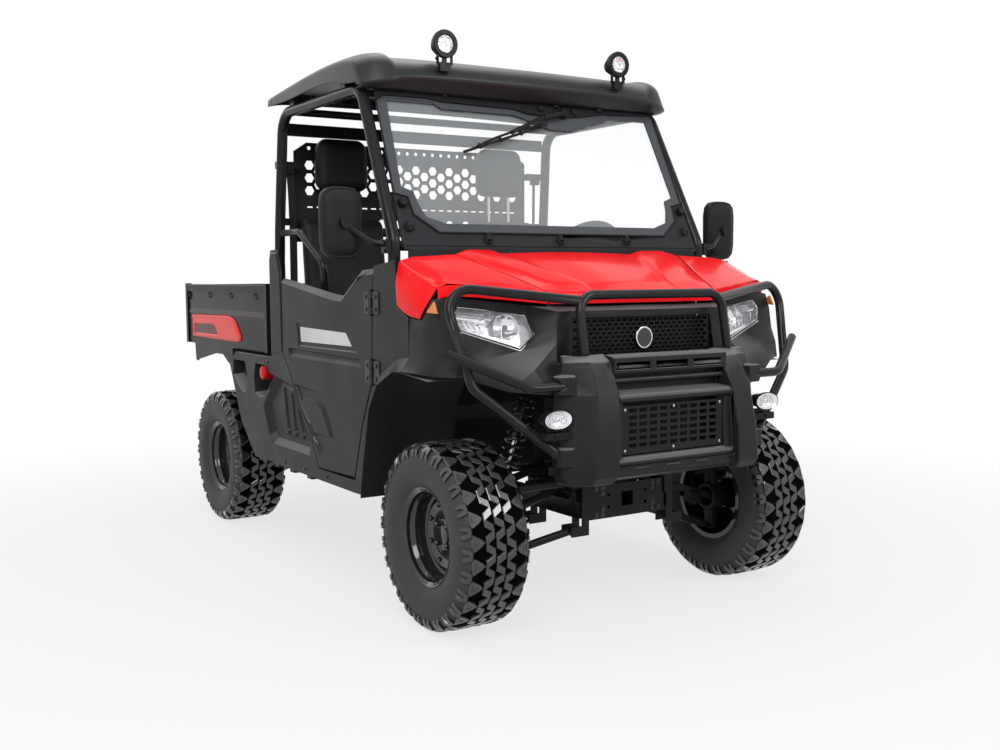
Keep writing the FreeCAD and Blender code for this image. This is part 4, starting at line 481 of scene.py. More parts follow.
for corner, centre in wheel_centres.items():
    fit(copy_at(groove_shade_ring, "tyre_grooves_" + corner, centre, corner.endswith("right")), groove_black,
        "wheel_" + corner, "tyre_rubber")
for name in ("carcass_pattern", "tread_pattern", "groove_pattern"):
    bpy.data.objects.remove(bpy.data.objects[name])

# ---------------------------------------------------------------- wheels
# Pressed steel rims in gloss black: rolled lip, stepped dish and a bolted disc.
# Four wheel nuts and a round cap hold the disc on the hub; a valve sits in the dish.
gloss_black = finish_of("gloss_black_enamel", (0.012, 0.012, 0.013), gloss=(0.10, 0.18), coat=0.96,
                        patch=10, grain=500, depth=0.00015, dust=((0.13, 0.11, 0.10), 0.2))
dish = [(0.1030, 0.1625), (0.1042, 0.1650), (0.1035, 0.1672), (0.1005, 0.1680), (0.0965, 0.1660),
        (0.0962, 0.1560),
        (-0.0962, 0.1560), (-0.0965, 0.1660), (-0.1030, 0.1672), (-0.1030, 0.1500), (-0.060, 0.1470),
        (0.014, 0.1460),
        (0.014, 0.0610), (-0.0325, 0.0520), (-0.0325, 0.0320), (0.0300, 0.0320), (0.0300, 0.0520),
        (0.0240, 0.0600),
        (0.0215, 0.0860), (0.0280, 0.1020), (0.0310, 0.1120), (0.0270, 0.1230), (0.0220, 0.1330),
        (0.0260, 0.1395),
        (0.0400, 0.1410), (0.0560, 0.1395), (0.0700, 0.1420), (0.0760, 0.1480), (0.0830, 0.1500),
        (0.0930, 0.1510),
        (0.0975, 0.1560), (0.1000, 0.1600)]
wheel_forms = [ring_rows(dish, 72)]
for n in range(8):
    angle = 2 * math.pi * (n + 0.5) / 8
    at = Vector((0.0262, 0.1035 * math.sin(angle), 0.1035 * math.cos(angle)))
    wheel_forms.append(turned([(0.0, 0.0075), (0.0045, 0.0075), (0.0052, 0.0095), (0.0, 0.0110)], 20, at,
                              (1, 0, 0)))
wheel_forms.append(turned([(0.0300, 0.0001), (0.0300, 0.0330), (0.0350, 0.0325), (0.0368, 0.0290),
                           (0.0368, 0.0001)], 40,
                          (0, 0, 0), (1, 0, 0)))
valve = turned([(0, 0.0001), (0, 0.0055), (0.016, 0.0040), (0.030, 0.0038), (0.031, 0.0001)], 14,
               (0.036, 0.0, 0.136),
               (1, 0, -0.25))
nuts = []
for n in range(4):
    angle = 2 * math.pi * (n + 0.5) / 4
    at = Vector((0.0280, 0.046 * math.sin(angle), 0.046 * math.cos(angle)))
    nuts.append(turned([(0, 0.0001), (0, 0.0118), (0.003, 0.0112), (0.0035, 0.0098), (0.016, 0.0096),
                        (0.0185, 0.0078),
                        (0.0185, 0.0001)], 6, at, (1, 0, 0)))
dish_mesh = round_edges(put("dish_pattern", *wheel_forms, valve), 0, over=35).data
nut_mesh = round_edges(put("nut_pattern", *nuts), 0, over=30).data
for corner, centre in wheel_centres.items():
    flip = corner.endswith("right")
    body = "wheel_" + corner
    fit(copy_at(dish_mesh, "wheel_disc_" + corner, centre, flip), gloss_black, body, "rim_black",
        "rim_" + corner)
    fit(copy_at(nut_mesh, "wheel_nuts_" + corner, centre, flip), black_steel, body, "rim_black")
for name in ("dish_pattern", "nut_pattern"):
    bpy.data.objects.remove(bpy.data.objects[name])

# ---------------------------------------------------------------- cab floor
# Pressed floor with the seat box and the firewall, in black grained plastic.
# Raised ribs give grip under the riders' feet.
floor_plastic = finish_of("floor_plastic", (0.014, 0.014, 0.0145), gloss=(0.5, 0.66), patch=9, grain=420,
                          depth=0.0005)
dress("floor_pan", "cab_floor", 0.004, floor_plastic, "root", "trim_black")
grips = [box_form((x - 0.006, x + 0.006), (-0.55, -0.16), (0.4455, 0.4495)) for x in
         [-0.56 + 0.08 * n for n in range(15)] if abs(x) > 0.05]
make("floor_ribs", grips, 0.0015, floor_plastic, "root", "trim_black")

# ---------------------------------------------------------------- cab tubes
# Bent steel tube in satin black: one hoop and a hip guard at each side, bars between them.
# The tubes stand on the sills.
satin_tube = finish_of("satin_black_tube", (0.010, 0.010, 0.011), pale=0.05, gloss=(0.2, 0.32), coat=0.1,
                       patch=6, grain=800, depth=0.00015)
dress("cab_sides", "cab_hoops", 0, satin_tube, "root", "tube_black", over=40)
dress("cab_crossbars", "cab_bars", 0.0015, satin_tube, "root", "tube_black", over=40)

# ---------------------------------------------------------------- seats and headrests
# Foam pads in black vinyl with welted seams, the backs leaning on the cab's rear wall.
# Each headrest is a deep pad on two steel posts.


def vinyl(name, colour):
    """Soft vinyl with leather-like creases between small pores."""
    material = finish_of(name, colour, gloss=(0.42, 0.55), patch=5, grain=300, depth=0.0002)
    tree = material.node_tree
    place = next(n for n in tree.nodes if n.type == "TEX_COORD")
    pores = tree.nodes.new("ShaderNodeTexVoronoi")
    pores.feature = "DISTANCE_TO_EDGE"
    pores.inputs["Scale"].default_value = 420
    tree.links.new(place.outputs["Object"], pores.inputs["Vector"])
    crease = tree.nodes.new("ShaderNodeBump")
    crease.inputs["Strength"].default_value = 0.35
    crease.inputs["Distance"].default_value = 0.0003
    tree.links.new(pores.outputs["Distance"], crease.inputs["Height"])
    shader = tree.nodes["Principled BSDF"]
    tree.links.new(shader.inputs["Normal"].links[0].from_socket, crease.inputs["Normal"])
    tree.links.new(crease.outputs["Normal"], shader.inputs["Normal"])
    return material


def pad_form(size, radius, crown_by, place, seams=(), cuts=22):
    """Rounded, crowned pad; place moves a point of its own box to where it sits."""
    form = bmesh.new()
    bmesh.ops.create_cube(form, size=2.0)
    bmesh.ops.subdivide_edges(form, edges=form.edges, cuts=cuts, use_grid_fill=True)
    half = Vector(size) / 2
    for vertex in form.verts:
        at = Vector([math.sin(c * math.pi / 2) if abs(c) < 1 else c for c in vertex.co])
        spot = Vector([a * h for a, h in zip(at, half)])
        core = Vector([max(-(h - radius), min(h - radius, s)) for s, h in zip(spot, half)])
        away = spot - core
        if away.length > 1e-9:
            spot = core + away.normalized() * radius
        swell = (1 - at.x * at.x) * (1 - at.z * at.z)
        spot.y += crown_by * swell * (1 if at.y > 0 else -1) * (abs(at.y) ** 3)
        for axis, line, depth in seams:
            gap = (spot[axis] - line) / 0.006
            spot.y -= depth * math.exp(-gap * gap) * (1 if at.y > 0 else -1) * (abs(at.y) ** 3)
        vertex.co = place(spot)
    form.verts.index_update()
    points = [v.co.copy() for v in form.verts]
    faces = [tuple(v.index for v in f.verts) for f in form.faces]
    form.free()
    return points, faces


def lean(rows, height):
    """Value at a height from (height, value) rows."""
    for (low, a), (high, b) in zip(rows, rows[1:]):
        if height <= high:
            return a + (b - a) * max(0.0, (height - low) / (high - low))
    return rows[-1][1]


seat_vinyl = vinyl("seat_vinyl", (0.013, 0.013, 0.0145))
back_front = [(0.862, 0.206), (0.900, 0.176), (1.100, 0.182), (1.400, 0.224), (1.438, 0.246)]
back_rear = [(0.862, 0.258), (1.010, 0.258), (1.300, 0.284), (1.385, 0.284), (1.438, 0.262)]
welts = []
for side, word in ((1, "left"), (-1, "right")):
    def in_back(spot):
        height = 1.150 + spot.z
        near, far = lean(back_front, height), lean(back_rear, height)
        return Vector((side * 0.4075 + spot.x, (near + far) / 2 - spot.y / 0.045 * (far - near) / 2,
                       height))
    back = put("seat_back_" + word, pad_form((0.380, 0.090, 0.574), 0.040, 0.004, in_back,
                                             ((2, -0.10, 0.004), (2, 0.06, 0.004))))
    fit(round_edges(back, 0, over=70), seat_vinyl, "root", "seat_vinyl", "seat_backs")
    front_line = []
    for n in range(49):
        t = -math.pi / 2 + 2 * math.pi * n / 48
        x = 0.150 * math.copysign(abs(math.cos(t)) ** 0.45, math.cos(t))
        z = 0.245 * math.copysign(abs(math.sin(t)) ** 0.45, math.sin(t))
        front_line.append(in_back(Vector((x, 0.0445, z))))
    welts.append(swept(front_line, 0.0028, 6, capped=False))

    def in_squab(spot):
        return Vector((side * 0.3925 + spot.x, 0.030 + spot.z, 0.833 + spot.y))
    squab = put("seat_squab_" + word, pad_form((0.450, 0.128, 0.344), 0.034, 0.002, in_squab,
                                               ((0, -0.14, 0.004), (0, 0.14, 0.004))))
    fit(round_edges(squab, 0, over=70), seat_vinyl, "root", "seat_vinyl", "seat_cushions")

    def in_headrest(spot):
        narrow = 1 - 0.10 * max(0.0, spot.z / 0.113) ** 2
        return Vector((side * 0.407 + spot.x * narrow, 0.262 - spot.y, 1.666 + spot.z))
    head = put("headrest_pad_" + word, pad_form((0.240, 0.088, 0.222), 0.042, 0.003, in_headrest))
    fit(round_edges(head, 0, over=70), seat_vinyl, "root", "seat_vinyl", "headrests")
posts = [turned([(0, 0.0005), (0, 0.0072), (0.14, 0.0072), (0.14, 0.0005)], 18,
                (side * 0.407 + x, 0.265, 1.437),
                (0, 0, 1)) for side in (-1, 1) for x in (-0.055, 0.055)]
make("headrest_posts", posts, 0, damper_steel, "root", "rod_chrome")
make("seat_welts", welts, 0, seat_vinyl, "root", "seat_vinyl", over=80)


# ---------------------------------------------------------------- seat belts
# Woven black webbing from a guide on the rear tube down behind each seat to its reel.
# The buckle stands on a stalk between the seats.


def strap(points, width_way, width, thick=0.0013):
    """Flat belt webbing along a line of points."""
    path = [Vector(p) for p in points]
    rings = []
    for i, here in enumerate(path):
        ahead = (path[min(i + 1, len(path) - 1)] - path[max(i - 1, 0)]).normalized()
        across = (Vector(width_way) - ahead * ahead.dot(Vector(width_way))).normalized() * width / 2
        up = ahead.cross(across).normalized() * thick / 2
        rings += [here - across - up, here + across - up, here + across + up, here - across + up]
    faces = walls(4, len(path) - 1) + [(3, 2, 1, 0), tuple(len(path) * 4 - 4 + k for k in range(4))]
    return rings, faces


webbing = finish_of("belt_webbing", (0.014, 0.014, 0.015), gloss=(0.6, 0.75), grain=900, depth=0.0006)
belts, fittings = [], []
for side in (-1, 1):
    line = [(side * 0.632, 0.296, 1.635), (side * 0.628, 0.292, 1.55), (side * 0.625, 0.290, 1.40),
            (side * 0.622, 0.300, 1.15), (side * 0.620, 0.302, 0.90)]
    belts.append(strap(line, (0.35 * side, 1, 0), 0.046))
    fittings += [box_form((side * 0.618, side * 0.655), (0.276, 0.312), (1.622, 1.655)),
                 box_form((side * 0.595, side * 0.640), (0.270, 0.318), (0.845, 0.905)),
                 box_form((side * 0.135, side * 0.160), (0.100, 0.150), (0.860, 0.935)),
                 box_form((side * 0.143, side * 0.152), (0.118, 0.132), (0.768, 0.865))]
make("belt_webbing", belts, 0, webbing, "root", "seat_vinyl")
make("belt_fittings", fittings, 0.004, floor_plastic, "root", "trim_black", segments=3)

# ---------------------------------------------------------------- dashboard, column and steering wheel
# Moulded dash with a round gauge pod, switches and a lidded box; the column runs up to the wheel.
# The wheel has a foam grip over three spokes and a centre pad.
dash_plastic = finish_of("dash_plastic", (0.013, 0.013, 0.014), gloss=(0.46, 0.6), patch=8, grain=520,
                         depth=0.0004)
dress("dashboard", "dash_moulding", 0.006, dash_plastic, "root", "trim_black", segments=3)
gauge = [turned([(-0.03, 0.0005), (-0.03, 0.052), (0.012, 0.052), (0.016, 0.048), (0.010, 0.044),
                 (0.010, 0.0005)], 40,
                (0.400, -0.650, 1.222), (0, 0.86, 0.51))]
for n in range(4):
    gauge.append(box_form((0.12 - n * 0.045, 0.15 - n * 0.045), (-0.655, -0.628), (1.150, 1.172)))
gauge.append(box_form((-0.52, -0.18), (-0.640, -0.622), (1.075, 1.180)))
make("dash_fittings", gauge, 0.002, gloss_black, "root", "trim_black")
dress("steering_wheel", "steering_wheel_grip", 0.004, dash_plastic, "steering_wheel", "trim_black",
      segments=3, over=45)

# ---------------------------------------------------------------- panel under the windscreen
# Pressed panel between the pillars, its corners rising beside the screen.
# Five hooked clips and two rubber knobs hold the screen's lower edge.
slate_paint = finish_of("slate_paint", (0.018, 0.0195, 0.022), gloss=(0.36, 0.5), patch=5, grain=700,
                        depth=0.0002)
soft_rubber = finish_of("soft_rubber", (0.012, 0.012, 0.012), gloss=(0.35, 0.5), grain=500)
dress("cowl_panel", "cowl_moulding", 0.0015, slate_paint, "root", "panel_grey")


def on_screen(x, z, out=0.0):
    """Point on the windscreen's plane, moved forward out of it."""
    normal = Vector((0, -1, 0.466)).normalized()
    return Vector((x, -0.802 + 0.466 * (z - 1.334), z)) + normal * out


hooks = []
screen_up = Vector((0, 0.466, 1)).normalized()
screen_out = Vector((0, -1, 0.466)).normalized()
for x in (-0.636, -0.321, 0.0, 0.321, 0.636):
    base_z = 1.300 if abs(x) < 0.5 else 1.342
    curl = []
    for n in range(15):
        angle = math.pi * 1.15 * n / 14
        curl.append(on_screen(x + 0.013 * math.cos(angle) - 0.002, base_z + 0.014 - 0.016 * math.sin(angle),
                              0.009))
    hooks.append(swept(curl, 0.0038, 8))
    hooks.append(swept([on_screen(x - 0.004, base_z + 0.012, 0.006),
                        on_screen(x - 0.004, base_z + 0.030, 0.011)],
                       0.0062, 10))
for side in (-1, 1):
    hooks.append(turned([(0, 0.0005), (0, 0.016), (0.012, 0.017), (0.020, 0.014), (0.022, 0.0005)], 32,
                        on_screen(side * 0.643, 1.438, 0.001), screen_out))
    for n in range(12):
        angle = 2 * math.pi * n / 12
        at = on_screen(side * 0.643 + 0.0165 * math.cos(angle), 1.438 + 0.0165 * math.sin(angle) * 0.9,
                       0.009)
        hooks.append(swept([at - screen_out * 0.006, at + screen_out * 0.008], 0.0022, 6))
make("screen_clips", hooks, 0, soft_rubber, "root", "wiper_rubber", over=45)
seam = [swept([on_screen(x, 1.2895, 0.0005) for x in (-0.664, 0.664)], 0.0012, 6)]
make("cowl_seam", seam, 0, soft_rubber, "root", "wiper_rubber", over=80)

# ---------------------------------------------------------------- windscreen
# Laminated glass with a broad printed border, held in a slim rubber channel.
# The lower corners of the border are cut round the screen's knobs.
border_grey = finish_of("screen_border", (0.062, 0.068, 0.076), gloss=(0.3, 0.42), patch=3, mottle=0.06,
                        grain=900, depth=0.0001, coat=0.12)
dress("windscreen_surround", "screen_border", 0.0015, border_grey, "root", "panel_grey")


def clear_sheet(name, tint, rough=0.02, density=0.9):
    """Thin clear sheet: mostly see-through, with sharp reflections at a slant."""
    material = bpy.data.materials.new(name)
    material.use_nodes = True
    tree = material.node_tree
    shader = tree.nodes["Principled BSDF"]
    shader.inputs["Base Color"].default_value = (*tint, 1)
    shader.inputs["Roughness"].default_value = rough
    shader.inputs["Specular IOR Level"].default_value = 0.6
    fresnel = tree.nodes.new("ShaderNodeLayerWeight")
    fresnel.inputs["Blend"].default_value = 0.12
    smear = tree.nodes.new("ShaderNodeTexNoise")
    smear.inputs["Scale"].default_value = 3.0
    place = tree.nodes.new("ShaderNodeTexCoord")
    tree.links.new(place.outputs["Object"], smear.inputs["Vector"])
    span = tree.nodes.new("ShaderNodeMapRange")
    span.inputs["To Min"].default_value = 1 - density
    span.inputs["To Max"].default_value = 1 - density + 0.35
    add = tree.nodes.new("ShaderNodeMath")
    add.operation = "MULTIPLY_ADD"
    add.inputs[1].default_value = 0.04
    tree.links.new(smear.outputs["Fac"], add.inputs[0])
    tree.links.new(fresnel.outputs["Fresnel"], add.inputs[2])
    tree.links.new(add.outputs["Value"], span.inputs["Value"])
    tree.links.new(span.outputs["Result"], shader.inputs["Alpha"])
    return material


screen_glass = clear_sheet("screen_glass", (0.88, 0.93, 0.95), density=0.87)
dress("windscreen_glass", "screen_pane", 0, screen_glass, "root", "screen_clear")
edge = [(-0.519, 1.3365), (-0.606, 1.4005), (-0.613, 1.4625), (-0.6655, 1.4745), (-0.648, 1.849),
        (0.648, 1.849),
        (0.6655, 1.4745), (0.613, 1.4625), (0.606, 1.4005), (0.519, 1.3365), (-0.519, 1.3365)]
gasket = swept([on_screen(x, z, 0.001) for x, z in edge], 0.0042, 8, capped=False)
make("screen_gasket", [gasket], 0, soft_rubber, "root", "wiper_rubber", over=80)


def prism(low, high, foot=True):
    """Form between two loops of as many points, closed at the top and, where asked, at the foot."""
    count = len(low)
    caps = [tuple(range(2 * count - 1, count - 1, -1))] + ([tuple(range(count))] if foot else [])
    return list(low) + list(high), caps + walls(count, 1)


def screen_plate(outline, low, high):
    """Flat plate of (x, z) points lying on the windscreen between two heights."""
    return prism(*[[on_screen(x / 1000, z / 1000, lift) for x, z in outline] for lift in (low, high)])


dip = [(-640, 1849), (-640, 1832), (-423, 1830), (-380, 1804), (-63, 1804), (-26, 1795), (100, 1755),
       (210, 1755),
       (241, 1769), (396, 1812), (407, 1838), (640, 1842), (640, 1849)]
make("screen_border_top", [screen_plate(dip, 0.0005, 0.003)], 0.0008, border_grey, "root", "panel_grey")

# ---------------------------------------------------------------- wiper
# One arm from a motor above the screen; the blade's rubber sits in a sprung bow.
# Arm and motor stand on a black header panel with caps over its screws.
header = [(-652, 1876), (-654, 1818), (-614, 1836), (-440, 1838), (-379, 1829), (-57, 1824), (3, 1810),
          (117, 1803),
          (240, 1812), (386, 1834), (640, 1846), (650, 1876)]
header_forms = [screen_plate(header, 0.003, 0.012)]
for x, z, radius in ((0.067, 1.832, 0.013), (0.145, 1.852, 0.016), (0.230, 1.828, 0.016),
                     (0.359, 1.848, 0.014),
                     (-0.365, 1.848, 0.009), (0.520, 1.856, 0.009)):
    header_forms.append(turned([(0, 0.0005), (0, radius), (0.010, radius * 0.96), (0.015, radius * 0.7),
                                (0.016, 0.0005)],
                               24, on_screen(x, z, 0.011), screen_out))
make("screen_header", header_forms, 0.0015, dash_plastic, "root", "trim_black", over=40)
pivot = on_screen(0.172, 1.818, 0.022)
tip = on_screen(-0.337, 1.637, 0.014)
heel = on_screen(0.078, 1.768, 0.014)
run = (heel - tip).normalized()
blade_centre = tip.lerp(heel, 0.55)
arm_points = [pivot, pivot.lerp(blade_centre, 0.40) + screen_out * 0.012 + screen_up * 0.016,
              blade_centre + screen_out * 0.010 + screen_up * 0.010]
side_way = run.cross(screen_out).normalized()
side_way *= 1 if side_way.z > 0 else -1
bow = []
for n in range(21):
    share = n / 20 - 0.5
    bow.append(blade_centre + run * share * 0.36 + screen_out * 0.004
               + side_way * (0.013 - share * share * 0.05))
wiper_forms = [swept(arm_points, 0.0085, 8), swept(bow, 0.0050, 8),
               swept([pivot, arm_points[1]], 0.0115, 8),
               turned([(0, 0.0005), (0, 0.020), (0.016, 0.020), (0.024, 0.015), (0.025, 0.0005)], 28,
                      pivot - screen_out * 0.014, screen_out),
               swept([tip - screen_out * 0.004, heel - screen_out * 0.004], 0.0055, 8)]
for share in (-0.36, -0.12, 0.12, 0.36):
    at = blade_centre + run * share * 0.45
    wiper_forms.append(swept([at - side_way * 0.010, at + side_way * 0.012], 0.0065, 6))
make("wiper_arm", wiper_forms, 0, soft_rubber, "root", "wiper_rubber", "wiper", over=45)

# ---------------------------------------------------------------- roof
# One vacuum-formed plastic roof with a visor over the screen, grained black.
# It sits on feet over the side tubes and swells into a dome above each front corner.
roof_plastic = finish_of("roof_plastic", (0.018, 0.0185, 0.020), gloss=(0.30, 0.42), patch=4, mottle=0.1,
                         grain=620, depth=0.0003, specular=0.25, pale=0.3)


def skin_from(name, rows, creased_columns=(), creased_rows=(), thick=0.003, levels=3, inward=-1.0):
    """Smooth panel over rows of (x, y, z) in millimetres, sharp along some of them."""
    form = bmesh.new()
    grid = [[form.verts.new(Vector(p) / 1000) for p in row] for row in rows]
    for above, below in zip(grid, grid[1:]):
        for i in range(len(above) - 1):
            form.faces.new((above[i], above[i + 1], below[i + 1], below[i]))
    crease = form.edges.layers.float.new("crease_edge")
    for column, sharp in creased_columns:
        for above, below in zip(grid, grid[1:]):
            edge = form.edges.get((above[column], below[column]))
            edge[crease] = sharp
    for row, sharp in creased_rows:
        for a, b in zip(grid[row], grid[row][1:]):
            form.edges.get((a, b))[crease] = sharp
    for corner in (grid[0][0], grid[0][-1], grid[-1][0], grid[-1][-1]):
        for edge in corner.link_edges:
            edge[crease] = max(edge[crease], 0.85)
    form.normal_update()
    mesh = bpy.data.meshes.new(name)
    form.to_mesh(mesh)
    form.free()
    piece = bpy.data.objects.new(name, mesh)
    bpy.context.scene.collection.objects.link(piece)
    mesh.shade_smooth()
    smooth = piece.modifiers.new("smooth", "SUBSURF")
    smooth.levels = smooth.render_levels = levels
    solid = piece.modifiers.new("sheet", "SOLIDIFY")
    solid.thickness, solid.offset = thick, inward
    edge_round = piece.modifiers.new("edge", "BEVEL")
    edge_round.width, edge_round.segments = thick * 0.3, 2
    edge_round.limit_method, edge_round.angle_limit = "ANGLE", math.radians(60)
    return piece


def both_halves(half):
    """Row across the object from its left half, middle point first."""
    return [(-x, y, z) for x, y, z in half[:0:-1]] + half


roof_xs = ([(0, 300, 545, 580, 604, 660, 698, 704)] * 2 + [(0, 300, 545, 582, 606, 662, 704, 708)] * 2
           + [(0, 300, 545, 586, 614, 666, 706, 708)] * 6)
roof_ys = [(-556, -555, -548, -546, -545, -538, -530, -528),
           (-592, -591, -589, -592, -596, -590, -566, -556),
           (-642, -640, -632, -628, -630, -618, -582, -568),
           (-630, -628, -617, -613, -612, -600, -560, -544),
           (-584, -583, -575, -576, -584, -574, -530, -510),
           (-459, -459, -459, -459, -466, -460, -454, -440),
           (-272,) * 8, (60,) * 8,
           (340, 340, 338, 337, 336, 333, 326, 322), (343, 343, 341, 340, 339, 336, 329, 325)]
roof_zs = [(1860, 1860, 1862, 1864, 1864, 1862, 1866, 1866),
           (1864, 1864, 1866, 1867, 1866, 1862, 1868, 1872),
           (1908, 1907, 1903, 1895, 1887, 1880, 1876, 1878),
           (1952, 1951, 1946, 1938, 1946, 1938, 1906, 1882),
           (1980, 1979, 1975, 1968, 1986, 1982, 1950, 1884),
           (1993, 1995, 1996, 1988, 2002, 1998, 1972, 1888),
           (1999, 1999, 1999, 1994, 2000, 1996, 1980, 1926),
           (1991, 1989, 1985, 1979, 1982, 1976, 1956, 1898),
           (1961, 1959, 1954, 1950, 1950, 1944, 1932, 1908),
           (1930, 1928, 1922, 1920, 1920, 1916, 1906, 1904)]
roof_rows = [both_halves(list(zip(xs, ys, zs))) for xs, ys, zs in zip(roof_xs, roof_ys, roof_zs)]
roof_creases = [(1, 0.6), (13, 0.6), (3, 0.5), (4, 0.5), (10, 0.5), (11, 0.5)]
roof_skin = skin_from("roof_skin", roof_rows, roof_creases, [(1, 0.6), (2, 0.75), (8, 0.7)], 0.005, 3, 1.0)
fit(roof_skin, roof_plastic, "root", "trim_black", "roof")
feet = [box_form((side * 0.645, side * 0.690), (y - 0.022, y + 0.022), (1.872, 1.950))
        for side in (-1, 1) for y in (-0.380, 0.120)]
make("roof_feet", feet, 0.004, roof_plastic, "root", "trim_black")

# ---------------------------------------------------------------- roof lamps
# Round work lamps: finned housing, black bezel, bowl reflector and a clear lens.
# Each stands on a folded bracket with a pivot bolt.
lamp_black = finish_of("lamp_housing", (0.009, 0.009, 0.0095), gloss=(0.26, 0.4), patch=18, grain=600,
                       depth=0.0002)
bright = finish_of("bright_reflector", (0.82, 0.82, 0.84), gloss=(0.05, 0.12), metallic=1.0, mottle=0.04,
                   patch=30, grain=250, depth=0.0003)
lens_clear = clear_sheet("lamp_lens", (0.9, 0.92, 0.94), density=0.9)
housings, bowls, lenses = [], [], []
for side in (-1, 1):
    centre = Vector((side * 0.403, -0.634, 2.029))
    ahead = Vector((0, -1, 0))
    body = [(-0.046, 0.0005), (-0.046, 0.020)]
    for n in range(6):
        body += [(-0.042 + n * 0.008, 0.026 + n * 0.0042), (-0.039 + n * 0.008, 0.026 + n * 0.0042),
                 (-0.039 + n * 0.008, 0.021 + n * 0.0042), (-0.035 + n * 0.008, 0.021 + n * 0.0042)]
    body += [(0.008, 0.0505), (0.024, 0.0515), (0.0275, 0.0485), (0.0275, 0.0350), (0.0225, 0.0330),
             (0.0225, 0.0310),
             (0.004, 0.0310), (0.004, 0.0005)]
    housings.append(turned(body, 48, centre, ahead))
    bowls.append(turned([(0.0050, 0.0005), (0.0052, 0.010), (0.0085, 0.020), (0.0150, 0.027),
                         (0.0215, 0.0303),
                         (0.0222, 0.0309), (0.004, 0.0309), (0.0045, 0.0005)], 40, centre, ahead))
    for n in range(8):
        angle = 2 * math.pi * n / 8
        at = centre + Vector((0.019 * math.cos(angle), 0, 0.019 * math.sin(angle)))
        bowls.append(turned([(0.004, 0.0005), (0.004, 0.0068), (0.0125, 0.0050), (0.0125, 0.0005)], 12, at,
                            ahead))
    lenses.append(turned([(0.0225, 0.0005), (0.0225, 0.0325), (0.0240, 0.0325), (0.0262, 0.022),
                          (0.0268, 0.0005)], 40,
                         centre, ahead))
    housings += [box_form((side * 0.395, side * 0.411), (-0.652, -0.640), (1.960, 1.992)),
                 box_form((side * 0.381, side * 0.425), (-0.6555, -0.6355), (1.9305, 1.958)),
                 box_form((side * 0.372, side * 0.434), (-0.656, -0.6405), (1.955, 1.963))]
    for x in (0.372, 0.430):
        housings.append(box_form((side * x, side * (x + 0.004)), (-0.656, -0.6405), (1.958, 1.990)))
    housings += bolt((side * 0.434, -0.648, 1.975), (side, 0, 0), 0.005, 0.006)
make("roof_lamp_housings", housings, 0.0008, lamp_black, "root", "trim_black", "roof_lamps", over=35)
make("roof_lamp_bowls", bowls, 0, bright, "root", "lamp_chrome", over=50)
make("roof_lamp_lenses", lenses, 0, lens_clear, "root", "lamp_clear", over=50)

# ---------------------------------------------------------------- rear screen
# Pressed steel guard with hexagonal holes, painted black and hung on the rear tubes.
# Its edges are left as cut.
dress("rear_screen", "rear_guard", 0, powder_black, "root", "frame_black")

# ---------------------------------------------------------------- hood
# Painted plastic skin with a wide crest along each side and a turned-down front edge.
# It hinges at the cowl; a dark gap parts it from the wings.


def gloss_paint(name, colour):
    """Glossy paint: clear coat over colour, with faint orange peel."""
    material = finish_of(name, colour, gloss=(0.20, 0.28), coat=0.18, mottle=0.05, patch=2.5, grain=160,
                         depth=0.00006, specular=0.075)
    tree = material.node_tree
    shader = tree.nodes["Principled BSDF"]
    shader.inputs["Coat Roughness"].default_value = 0.03
    peel = tree.nodes.new("ShaderNodeTexNoise")
    peel.inputs["Scale"].default_value = 55
    place = next(n for n in tree.nodes if n.type == "TEX_COORD")
    tree.links.new(place.outputs["Object"], peel.inputs["Vector"])
    bump = tree.nodes.new("ShaderNodeBump")
    bump.inputs["Strength"].default_value = 0.12
    bump.inputs["Distance"].default_value = 0.0004
    tree.links.new(peel.outputs["Fac"], bump.inputs["Height"])
    tree.links.new(bump.outputs["Normal"], shader.inputs["Coat Normal"])
    return material


body_red = gloss_paint("body_red", (0.93, 0.008, 0.012))
hood_ys = [(-850, -855, -857, -870, -890), (-960, -962, -963, -968, -976),
           (-1085, -1085, -1086, -1088, -1090),
           (-1213, -1210, -1209, -1203, -1196), (-1283, -1277, -1276, -1266, -1254),
           (-1286, -1280, -1279, -1269, -1257)]
hood_xs = [(0, 302, 342, 450, 503), (0, 268, 304, 408, 472), (0, 226, 254, 366, 418),
           (0, 184, 198, 330, 386),
           (0, 184, 198, 320, 364), (0, 184, 198, 320, 364)]
hood_zs = [(1270, 1260, 1273, 1274, 1257), (1244, 1230, 1241, 1241, 1229), (1205, 1191, 1200, 1199, 1187),
           (1157, 1150, 1155, 1156, 1148), (1122, 1122, 1122, 1124, 1126), (1088, 1088, 1088, 1088, 1089)]
hood_rows = [both_halves(list(zip(xs, ys, zs))) for xs, ys, zs in zip(hood_xs, hood_ys, hood_zs)]
hood_creases = [(1, 0.35), (2, 0.75), (3, 0.6), (5, 0.6), (6, 0.75), (7, 0.35)]
hood_skin = skin_from("hood_skin", hood_rows, hood_creases, [(3, 0.55), (4, 0.8)])
fit(hood_skin, body_red, "hood", "body_red", "hood")
hinge_forms = []
for side in (-1, 1):
    hinge_forms += [turned([(-0.012, 0.0052), (-0.012, 0.009), (0.012, 0.009), (0.012, 0.0052)], 20,
                           (side * 0.220, -0.858, 1.250), (1, 0, 0)),
                    box_form((side * 0.209, side * 0.231), (-0.874, -0.862), (1.2545, 1.2595))]
make("hood_hinges", hinge_forms, 0, black_steel, "hood", "steel_dark")

